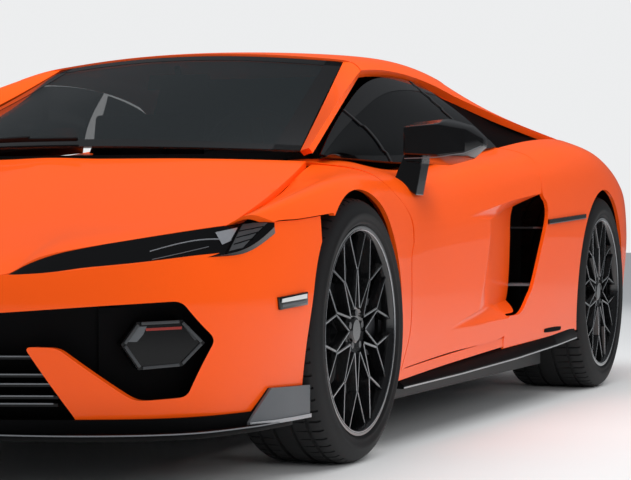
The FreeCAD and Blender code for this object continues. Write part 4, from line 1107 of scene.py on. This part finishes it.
# A bright bar along the foot of each end plate: a painted highlight on that edge.
pair("end_plate_foot_highlight", bar([(x + 3, y, 152) for (x, y, _), *_ in plate_rows], 9), machined_and_highlight)

# Grille: back, slats, and pale strips on the slats' front edges that paint their highlights
grille_half = [[nose_point(k, z, lean) for z, lean in GRILLE_LEVELS] for k in range(len(NOSE_PLAN) - 2)]
grille_mesh = thick_surface("grille", spread(mirrored_columns(grille_half), 120, 24), 12)
grille_mesh = trim_mesh(grille_mesh, [shifted(nose_mesh)])
settle("grille_back", largest_part(grille_mesh), "body", liner_and_shade_black, ("front_grille",))
slat_meshes, slat_highlights = [], []
for z in SLAT_HEIGHTS:
    line = [nose_point(k, z, SLAT_LEAN) for k in range(3)]
    beyond = Vector(line[2]).lerp(Vector(nose_point(3, z, SLAT_LEAN)), 0.62)
    line = both_sides(line + [tuple(beyond)])
    slat_meshes.append(bar([(x, y + 28, z + 3) for x, y, z in line], SLAT_THICKNESS, (0, 0, 1), 56))
    # Pale strips on the slats' front edges: painted highlights.
    slat_highlights.append(bar([(x, y - 1, z + 6) for x, y, z in line], 3, (0, 0, 1), 3))
settle("grille_slats", joined("slats", slat_meshes), "body", satin_black)
settle("grille_slat_highlights", joined("edges", slat_highlights), "body", satin_grey_and_highlight)
# Black liner in the nose duct: its own black and painted shade for the duct's depth.
liner = [[nose_point(k, z, lean) for z, lean in ((170, 108), (300, 96), (430, 60))] for k in (3, 4, 5)]
pair("nose_duct_liner", thick_surface("liner", spread(liner, 20, 8), 4), liner_and_shade_black)

# Corner lamps: a hexagonal ring of six bars, its upper reflector and red bar
LAMP_ALONG, LAMP_OUT = Vector((0.783, 0.622, 0)), Vector((0.622, -0.783, 0))


def on_lamp(u, v, out=0.0):
    return Vector(LAMP_MIDDLE) + LAMP_ALONG * u + Vector((0, 0, v)) + LAMP_OUT * out


ring = []
corners = [Vector(p) * 0.93 for p in HEXAGON]
for a, b in zip(corners, corners[1:] + corners[:1]):
    start, end = a.lerp(b, 0.05), a.lerp(b, 0.95)
    across = Vector((-(b - a).y, (b - a).x)).normalized()
    wide = LAMP_ALONG * across.x + Vector((0, 0, across.y))
    ring.append(bar([on_lamp(*start, 3), on_lamp(*end, 3)], 7, wide, 7))
pair("corner_lamp_ring", bevelled(joined("ring", ring), 1), vent_grey)
for name, places, finish in (
    ("reflector", ((-80, 6), (-56, 40), (-38, 40), (-46, 22), (-60, 6)), end_plate_grey),
    ("side", ((46, 40), (58, 40), (82, 8), (72, 8)), vent_grey),
):
    pair(f"corner_lamp_{name}", plate([on_lamp(u, v) for u, v in places], LAMP_OUT * 2), finish)
red_bar = bar([on_lamp(-40, 33, 1), on_lamp(42, 36, 1)], 6, (0, 0, 1), 4)
pair("corner_lamp_red_bar", red_bar, lamp_red)


# Headlamp details, just over the lens
def on_lens(u, v, lift_mm):
    """Place on the lens at shares of its length and height."""
    rows, columns, _ = lens_points.shape
    i, j = u * (rows - 1), v * (columns - 1)
    a, b = int(min(i, rows - 2)), int(min(j, columns - 2))
    s, t = i - a, j - b
    here = (lens_points[a, b] * (1 - s) * (1 - t) + lens_points[a + 1, b] * s * (1 - t)
            + lens_points[a, b + 1] * (1 - s) * t + lens_points[a + 1, b + 1] * s * t)
    return tuple(here / MM - np.array(LAMP_INWARDS) * lift_mm)


LENS_UP = (-0.1, 0.55, 0.8)
guide = [on_lens(u, 0.42 + 0.2 * math.sin(math.pi * (u - 0.4) / 0.38), 1.2) for u in steps(0.42, 0.76, 16)]
pair("headlamp_light_guide", bar(guide, 3, LENS_UP, 1.5), lamp_bright)
guide_low = [on_lens(u, 0.2 + 0.9 * (u - 0.5), 1.2) for u in steps(0.45, 0.66, 8)]
pair("headlamp_low_guide", bar(guide_low, 2, LENS_UP, 1.5), end_plate_grey)
for name, lift_mm, finish, places in (
    ("reflector", 0.8, lamp_bright, ((0.665, 0.8), (0.775, 0.86), (0.755, 0.42), (0.72, 0.34))),
    ("vent", 0.6, vent_grey,
     ((0.79, 0.95), (0.86, 0.97), (0.955, 0.95), (0.90, 0.5), (0.84, 0.08), (0.765, 0.08))),
):
    facet = plate([on_lens(u, v, lift_mm) for u, v in places], -LAMP_INWARDS * 1.2)
    pair(f"headlamp_{name}", facet, finish)
# The lens's vent grooves are black bars: painted shade in the grooves.
for k, v in enumerate((0.28, 0.5, 0.72)):
    groove = [on_lens(0.775 + 0.02 * v, v, 2), on_lens(0.87 + 0.09 * v, v, 2)]
    pair(f"headlamp_vent_groove_{k + 1}", bar(groove, 3, LENS_UP, 1.4), liner_and_shade_black)
divider = bar([on_lens(0.755, 0.02, 1.6), on_lens(0.79, 0.99, 1.6)], 6, (1, 0, 0), 2)
pair("headlamp_divider", divider, liner_and_shade_black)

# Side marker in front of the wheel: a clear reflector and a grey one in a black frame
marker = [on_flank(y, z, -4) for y, z in ((-1806, 446), (-1676, 456), (-1676, 424), (-1800, 416))]
pair("marker_frame", bevelled(plate(marker, (8, 0, 0)), 2), gloss_black)
for name, finish, places in (
    ("reflector", marker_clear, ((-1795, 442), (-1683, 451), (-1683, 440), (-1797, 433))),
    ("lower", end_plate_grey, ((-1796, 428), (-1683, 436), (-1683, 430), (-1794, 422))),
):
    pair(f"marker_{name}", plate([on_flank(y, z, 3) for y, z in places], (2.2, 0, 0)), finish)

# Skirts, with the painted sill above each and the pale line of its lip, a painted highlight
skirt_rings = [[(x, y, z - 4) for x, z in places] for y, *places in SKIRT]
pair("skirt_blade", bevelled(loft(skirt_rings), 2), skirt_black, degrees=40)
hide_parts("side_skirts")
# The pale line along the lip is a painted highlight.
lip_highlight = [(ring[1][0] + 2.5, ring[1][1], ring[1][2] + 4) for ring in skirt_rings]
pair("skirt_lip_highlight", bar(lip_highlight, 4), highlight_line)
sill = []
for y in steps(-915, 118, 14):
    foot = np.interp(y, [-900, -445, 108], [214, 232, 251])
    sill.append([(flank(y, 0)[0] - 0.5, y, foot), (flank(y, 0)[0] - 0.5, y, foot - 28)])
pair("sill_skin", thick_surface("sill", spread(sill, 60, 2), 6, (-1, 0, 0)), paint)

# Intakes: inner wall and two blades, the trim strip behind them and the vent ahead of the rear wheel
# The intake's inner wall is matt black: its own black and painted shade in the duct.
wall_mesh = plate([(x, y, DUCT_LOW) for x, y in DUCT_WALL], (0, 0, DUCT_HIGH - DUCT_LOW))
pair("intake_wall", wall_mesh, liner_and_shade_black)
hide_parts("side_intakes")
for (name, corners, low, thickness), finish in zip(INTAKE_BLADES, (satin_grey_and_highlight, satin_black)):
    blade_mesh = plate([(x, y, low) for x, y in corners], (0, 0, thickness))
    pair(f"intake_{name}", blade_mesh, finish)
strip_path = [on_flank(y, 629 + (y - 578) * 0.047, 2.5) for y in steps(582, 1062, 12)]
pair("quarter_trim_strip", bar(strip_path, 16, (0, 0, 1), 5), gloss_black)
# The bright line under the trim strip is a painted highlight.
trim_highlight = [(x + 3, y, z - 7) for x, y, z in strip_path]
pair("quarter_trim_line", bar(trim_highlight, 3, (0, 0, 1), 3), highlight_line)
# The vent is a flat black plate: painted shade for its recess.
vent_places = []
for angle in steps(0, 2 * math.pi, 24)[:-1]:
    c, s = math.cos(angle), math.sin(angle)
    along = 104 * c / max(abs(c), abs(s) * 0.12, 0.3) * min(1, abs(c) + 0.3)
    vent_places.append(on_flank(691 + along, 252 + 8 * s, -2))
pair("quarter_vent", plate(vent_places, (4, 0, 0)), liner_and_shade_black)

# Shoulder ducts behind the side glass: thin black sheets that paint the shade in each duct
shoulder_mesh = thick_surface("shoulder", spread(SHOULDER, 50, 12), 6, (-0.8, 0, -0.6))
pair("shoulder_duct", shoulder_mesh, liner_and_shade_black)

# Door mirrors: a faceted head on its foot, with the glass at the back
head = [[(x, y, z) for y, z in places] for x, *places in MIRROR]
foot_mesh = loft([list(ring) for ring in MIRROR_FOOT])
mirror_mesh = joined("mirror", [bevelled(loft(head), 4, 2, 12), bevelled(foot_mesh, 4, 2, 30)])
pair("mirror_shell", mirror_mesh, gloss_black, "door_{side}", "door_mirror_{side}", 20)
glass_rim = [(915, -583, 852), (1072, -590, 854), (1072, -622, 892), (918, -620, 906)]
pair("mirror_glass", plate(glass_rim, (0, 1.8, 1.2)), mirror_silver, "door_{side}")
# A grey line along the head's lower edge is a painted highlight.
edge = [(912, -742, 806), (1005, -746, 808), (1080, -719, 820), (1118, -672, 842)]
edge_highlight = bar([(x, y - 1, z) for x, y, z in edge], 2.5, (0, 0, 1), 2)
pair("mirror_edge_highlight", edge_highlight, satin_grey_and_highlight, "door_{side}")

# Glass surrounds: black print round the screen, frames and bars on the side glass
SCREEN_OUT = (0, -0.42, 0.9)
rows, columns, _ = screen_points.shape
for name, row_span, column_span in (
    ("foot", (0, 5), (0, columns)), ("head", (rows - 4, rows), (0, columns)),
    ("left", (0, rows), (columns - 4, columns)), ("right", (0, rows), (0, 4)),
):
    print_mesh = band(screen_points, row_span, column_span, 1.0, 1.6, SCREEN_OUT)
    settle(f"screen_print_{name}", print_mesh, "body", frit)
wiper = [tuple(screen_points[2, j] / MM + np.array(SCREEN_OUT) * 12) for j in range(20, 46, 3)]
settle("wiper_blade", bar(wiper, 9, SCREEN_OUT, 8), "body", satin_black)
arm = [tuple(np.array(wiper[0]) + np.array((-60, -10, 0))), tuple(np.array(wiper[4]) + np.array((0, 0, 6)))]
settle("wiper_arm", bar(arm, 8, SCREEN_OUT, 10), "body", satin_black)
GLASS_OUT = (0.8, 0, 0.6)
glass_length, last_column, _ = glass_points.shape
for name, column_span in (("rail", (last_column - 4, last_column)), ("belt", (0, 3))):
    edge_mesh = band(glass_points, (0, glass_length), column_span, 1.5, 3, GLASS_OUT)
    pair(f"glass_{name}", edge_mesh, frit, "door_{side}")


def across_glass(low_y, high_y, lift_mm=2.5):
    """Places up the glass between two stations."""
    places = []
    for j in range(last_column):
        wanted = (low_y + (high_y - low_y) * j / (last_column - 1)) * MM
        i = int(np.argmin(np.abs(glass_points[:, j, 1] - wanted)))
        places.append(tuple(glass_points[i, j] / MM + np.array(GLASS_OUT) * lift_mm))
    return places


for name, low_y, high_y in (("quarter_light_bar", -580, -610), ("rear_glass_bar", 260, 205)):
    glass_bar = bar(across_glass(low_y, high_y), 16, (0, 1, 0), 3)
    pair(name, glass_bar, bar_grey, "door_{side}")

# Engine cover: a black louvred panel let into the deck
middle = deck_points.shape[1] // 2
panel_mesh = band(deck_points, (12, 74), (middle - 17, middle + 18), 1.2, 3, (0, 0, 1))
settle("deck_panel", panel_mesh, "engine_lid", gloss_black)
louvres = []
for i in range(16, 72, 8):
    line = [tuple(deck_points[i, j] / MM + np.array((0, 0, 9))) for j in range(middle - 15, middle + 16, 3)]
    louvres.append(bar(line, 46, (0, 0.94, 0.34), 4))
settle("deck_louvres", bevelled(joined("louvres", louvres), 1), "engine_lid", satin_black)


def board(foot, head, depth_mm):
    """Plate across the middle of the car between two edges, each given by its left end."""
    corners = [(-foot[0], *foot[1:]), foot, head, (-head[0], *head[1:])]
    return plate(corners, (0, depth_mm, 0))


# Tail: lamp bars, painted corners, polished pipe ends, the blank plate and the mesh
TAIL_FACE = 2313
red = []
tail_corners = [Vector(p) for p in TAIL_LAMP]
lamp_centre = Vector((680, 748))
for a, b in zip(tail_corners, tail_corners[1:] + tail_corners[:1]):
    start, end = [lamp_centre + (p.lerp(q, 0.06) - lamp_centre) * 0.86 for p, q in ((a, b), (b, a))]
    across = Vector((-(b - a).y, (b - a).x)).normalized()
    ends = [(start.x, TAIL_FACE, start.y), (end.x, TAIL_FACE, end.y)]
    red.append(bar(ends, 9, (across.x, 0, across.y), 5))
pair("tail_lamp_bars", bevelled(joined("red", red), 1), tail_glow)
corner_rows = []
for z in (215, 300, 390, 470):
    edge_x = on_flank(2230, z)[0]
    corner_rows.append([(edge_x - 8, 2232, z), ((edge_x + 600) / 2, 2276, z), (600, 2296, z)])
pair("tail_corner", thick_surface("tail_corner", spread(corner_rows, 20, 16), 4, (0, -1, 0)), paint)
tips = []
PIPE_X, PIPE_HEIGHT = 70, 640
angles = steps(0, 2 * math.pi, 48)
for x in (-PIPE_X, PIPE_X):
    for radius, y, depth in ((54, 2338, 8), (47, 2334, 6)):
        circle = [(x + radius * math.cos(a), y, PIPE_HEIGHT + radius * math.sin(a)) for a in angles]
        tips.append(bar(circle, 2 * depth, (0, 1, 0), 3))
settle("exhaust_tips", joined("tips", tips), "body", exhaust_steel)
plate_mesh = bevelled(board((152, 2296, 424), (152, 2296, 576), 3), 1)
settle("plate_blank", plate_mesh, "body", plate_white)


def mesh_tree():
    """Honeycomb panel: a ring on each point of two offset grids, then the finish."""
    tree, start = new_tree("honeycomb_panel", ("Width", "Float"), ("Height", "Float"), ("Pitch", "Float"),
                           ("Finish", "Material"))
    row_share = math.sqrt(3)
    counts = []
    for side, factor in (("Width", 1.0), ("Height", row_share)):
        step = math_node(tree, "MULTIPLY", start["Pitch"], factor)
        counts.append(math_node(tree, "FLOOR", math_node(tree, "DIVIDE", start[side], step)))
    depth = math_node(tree, "MULTIPLY", start["Pitch"], 0.3)
    radius = math_node(tree, "MULTIPLY", start["Pitch"], 0.55)
    cell = add_node(tree, "GeometryNodeMeshCylinder", {"fill_type": "NONE"},
                    {"Vertices": 6, "Side Segments": 1}, {"Depth": depth, "Radius": radius})
    both = add_node(tree, "GeometryNodeJoinGeometry")
    for offset in (0.0, 0.5):
        grid = add_node(tree, "GeometryNodeMeshGrid", links={
            "Size X": start["Width"], "Size Y": start["Height"],
            "Vertices X": counts[0], "Vertices Y": counts[1],
        })
        shift = add_node(tree, "ShaderNodeVectorMath", {"operation": "SCALE"})
        shift.inputs[0].default_value = (offset, offset * row_share, 0)
        tree.links.new(start["Pitch"], shift.inputs["Scale"])
        moved_grid = add_node(tree, "GeometryNodeTransform",
                              links={"Geometry": grid.outputs[0], "Translation": shift.outputs[0]})
        cells = add_node(tree, "GeometryNodeInstanceOnPoints",
                         links={"Points": moved_grid.outputs[0], "Instance": cell.outputs[0]})
        tree.links.new(cells.outputs[0], both.inputs[0])
    real = add_node(tree, "GeometryNodeRealizeInstances", links={"Geometry": both.outputs[0]})
    painted = add_node(tree, "GeometryNodeSetMaterial",
                       links={"Geometry": real.outputs[0], "Material": start["Finish"]})
    return end_tree(tree, painted.outputs[0])


honeycomb = mesh_tree()
for side, middle_x in zip(SIDES, (400, -400)):
    blank = bpy.data.meshes.new("blank")
    cells = with_tree(blank, honeycomb, Width=0.38, Height=0.2, Pitch=0.022, Finish=satin_black)
    upright = Matrix.Rotation(math.radians(90), 4, "X")
    cells.transform(Matrix.Translation((middle_x * MM, 2.307, 0.56)) @ upright)
    settle(f"tail_mesh_{side}", cells, "body", satin_black)

# Cabin: instrument hood, blank screen, and the mirror on the screen
hood = [[(x, y, z) for y, z in ((-700, 800), (-610, 842), (-560, 836), (-560, 800))] for x in (230, 370, 510)]
settle("instrument_hood", bevelled(loft(hood), 8, 3, 30), "body", trim)
centre_mesh = bevelled(board((90, -558, 690), (90, -572, 800), 6), 2)
settle("centre_screen", centre_mesh, "body", gloss_black)
cabin_mirror_mesh = bevelled(board((110, -330, 1050), (102, -322, 1100), 24), 6, 2)
settle("cabin_mirror", cabin_mirror_mesh, "body", gloss_black)
stalk_mesh = bar([(0, -320, 1098), (0, -330, 1125)], 16, (1, 0, 0), 12)
settle("cabin_mirror_stalk", stalk_mesh, "body", satin_black)

# Seats: a hard shell with padded cushion, back, head and bolsters
SEAT_X, SEAT_HALF_WIDTH, BOLSTER_X = 370, 212, 186
PRESSURE, CLOTH_FRAMES = 4, 20


def pad_block(middle, half, lean_degrees, pinch=0.16, cuts=14):
    """Crowned closed block whose sides pull in between its corners."""
    shape = bmesh.new()
    bmesh.ops.create_cube(shape, size=2)
    bmesh.ops.subdivide_edges(shape, edges=shape.edges[:], cuts=cuts, use_grid_fill=True)
    turn = Matrix.Rotation(math.radians(lean_degrees), 3, "X")
    for vert in shape.verts:
        u, v, w = vert.co
        crown = (1 - u**4) * (1 - v**4)
        side = 1 - pinch * 0.3 * (1 - v * v) * abs(u) ** 3
        w = w * (0.62 + 0.38 * crown)
        place = Vector((u * half[0] * side, v * half[1] * (1 - pinch * 0.2 * (1 - u * u)), w * half[2]))
        vert.co = (Vector(middle) + turn @ place) * MM
    mesh = bpy.data.meshes.new("pad")
    shape.to_mesh(mesh)
    shape.free()
    return mesh


def inflated(mesh, cap_mm, voxel_mm=9):
    """The pad under pressure as sewn cloth, no point moved further than the cap."""
    mesh = with_modifier(mesh, "REMESH", mode="VOXEL", voxel_size=voxel_mm * MM)
    before = np.array([tuple(vert.co) for vert in mesh.vertices])
    piece = new_object("pad_work", mesh)
    cloth = piece.modifiers.new("cloth", "CLOTH")
    cloth.settings.use_pressure = True
    cloth.settings.uniform_pressure_force = PRESSURE
    cloth.settings.effector_weights.gravity = 0
    for frame_number in range(1, CLOTH_FRAMES + 1):
        scene.frame_set(frame_number)
    swollen = evaluated(piece)
    bpy.data.objects.remove(piece)
    scene.frame_set(1)
    after = np.array([tuple(vert.co) for vert in swollen.vertices])
    move = after - before
    length = np.linalg.norm(move, axis=1, keepdims=True)
    move *= np.minimum(1, cap_mm * MM / np.maximum(length, 1e-9))
    swollen.vertices.foreach_set("co", (before + move).ravel())
    return swollen


PADS = [
    # name, middle, half size, lean in degrees, furthest move
    ("cushion", (SEAT_X, -310, 352), (150, 190, 26), 0, 8),
    ("back", (SEAT_X, 62, 590), (140, 205, 22), 66, 8),
    ("head", (SEAT_X, 178, 905), (95, 70, 18), 78, 6),
]
for name, middle, half, lean, cap in PADS:
    mesh = inflated(pad_block(middle, half, lean), cap)
    for piece in pair(f"seat_{name}", mesh, leather, degrees=60):
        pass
SHELL = [
    (-520, 150), (-540, 296), (-500, 318), (-120, 296), (-20, 330), (176, 800), (212, 1006), (244, 1008),
    (298, 860), (88, 150),
]
shell_places = [(SEAT_X - SEAT_HALF_WIDTH, y, z) for y, z in SHELL]
shell_mesh = bevelled(plate(shell_places, (2 * SEAT_HALF_WIDTH, 0, 0)), 14, 3, 25)
pair("seat_shell", shell_mesh, leather)
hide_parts("seats")
for edge_name, x in (("outer", SEAT_X + BOLSTER_X), ("inner", SEAT_X - BOLSTER_X)):
    back = ("back", (x, 42, 560), (26, 200, 42), 66)
    thigh = ("thigh", (x, -310, 352), (26, 190, 40), 0)
    for name, middle, half, lean in (back, thigh):
        mesh = pad_block(middle, half, lean, 0.1, 10)
        for piece in pair(f"seat_{name}_bolster_{edge_name}", mesh, leather, degrees=60):
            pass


# Floor, light and camera
def stage_plane(name, size_m, height, material):
    corners = [(x * size_m / 2, y * size_m / 2, height) for x, y in ((-1, -1), (1, -1), (1, 1), (-1, 1))]
    mesh = bpy.data.meshes.new(name)
    mesh.from_pydata(corners, [], [(0, 1, 2, 3)])
    mesh.materials.append(material)
    plane = new_object(name, mesh)


# Pale concrete: matt, close to white.
floor_paint = finish_of("pale_floor", "E9E9E8", 0.6)
stage_plane("floor", 80, -0.0005, floor_paint)

world = bpy.data.worlds.new("studio")
scene.world = world
world.use_nodes = True
sky = world.node_tree
sky.nodes.clear()
ray = add_node(sky, "ShaderNodeLightPath")
seen = math_node(sky, "MAXIMUM", ray.outputs["Is Camera Ray"], ray.outputs["Is Transmission Ray"])
# What gloss shows of the room is darker than what lights it, as the far walls of a studio are.
soft_fill = add_node(sky, "ShaderNodeBackground", inputs={"Color": linear("E4E8EE"), "Strength": 0.6})
far_walls = add_node(sky, "ShaderNodeBackground", inputs={"Color": linear("D8DCE2"), "Strength": 0.16})
ambient = add_node(sky, "ShaderNodeMixShader", links={"Fac": ray.outputs["Is Glossy Ray"]})
sky.links.new(soft_fill.outputs[0], ambient.inputs[1])
sky.links.new(far_walls.outputs[0], ambient.inputs[2])
backdrop = add_node(sky, "ShaderNodeBackground", inputs={"Color": linear("F2F3F4"), "Strength": 0.95})
mixed = add_node(sky, "ShaderNodeMixShader", links={"Fac": seen})
sky.links.new(ambient.outputs[0], mixed.inputs[1])
sky.links.new(backdrop.outputs[0], mixed.inputs[2])
add_node(sky, "ShaderNodeOutputWorld", links={"Surface": mixed.outputs[0]})

# Soft boxes: name, place (m), size (m), power (W)
SOFT_BOXES = [
    ("overhead", (0.5, 0.0, 5.0), (4.0, 8.0), 300),
    ("left_front", (6.0, -5.5, 3.2), (4.0, 2.5), 125),
    ("right_side", (-7.0, 0.0, 3.5), (6.0, 2.0), 90),
    ("behind", (2.0, 8.0, 3.5), (5.0, 2.0), 80),
]
AIM = Vector((0, 0, 0.5))
for name, place, extent, power in SOFT_BOXES:
    lamp = bpy.data.lights.new(name, "AREA")
    lamp.shape = "RECTANGLE"
    lamp.size, lamp.size_y = extent
    lamp.energy = power
    light = bpy.data.objects.new(name, lamp)
    light.location = place
    light.rotation_euler = (AIM - Vector(place)).to_track_quat("-Z", "Y").to_euler()
    # Only the far side's box is mirrored in glass and lacquer, so that colours keep their depth.
    light.visible_glossy = name == "right_side"
    scene.collection.objects.link(light)

# The camera stands low off the left front corner, with a long lens.
CAMERA_PLACE = Vector((2.7416, -6.1005, 0.6132))
CAMERA_AZIMUTH, CAMERA_PITCH, CAMERA_ROLL = map(math.radians, (21.415, -0.405, 0.118))
FOCAL_PIXELS, IMAGE_WIDTH, SENSOR_MM = 1984.98, 631, 36
ahead = Vector((
    -math.sin(CAMERA_AZIMUTH) * math.cos(CAMERA_PITCH),
    math.cos(CAMERA_AZIMUTH) * math.cos(CAMERA_PITCH),
    math.sin(CAMERA_PITCH),
))
level = Vector((math.cos(CAMERA_AZIMUTH), math.sin(CAMERA_AZIMUTH), 0))
upward = level.cross(ahead)
right = level * math.cos(CAMERA_ROLL) + upward * math.sin(CAMERA_ROLL)
above = upward * math.cos(CAMERA_ROLL) - level * math.sin(CAMERA_ROLL)
camera = bpy.data.objects.new("camera", bpy.data.cameras.new("camera"))
camera.data.sensor_width = SENSOR_MM
camera.data.lens = FOCAL_PIXELS / IMAGE_WIDTH * SENSOR_MM
camera.matrix_world = Matrix.Translation(CAMERA_PLACE) @ Matrix((right, above, -ahead)).transposed().to_4x4()
scene.collection.objects.link(camera)
scene.camera = camera
scene.view_settings.view_transform = "Standard"
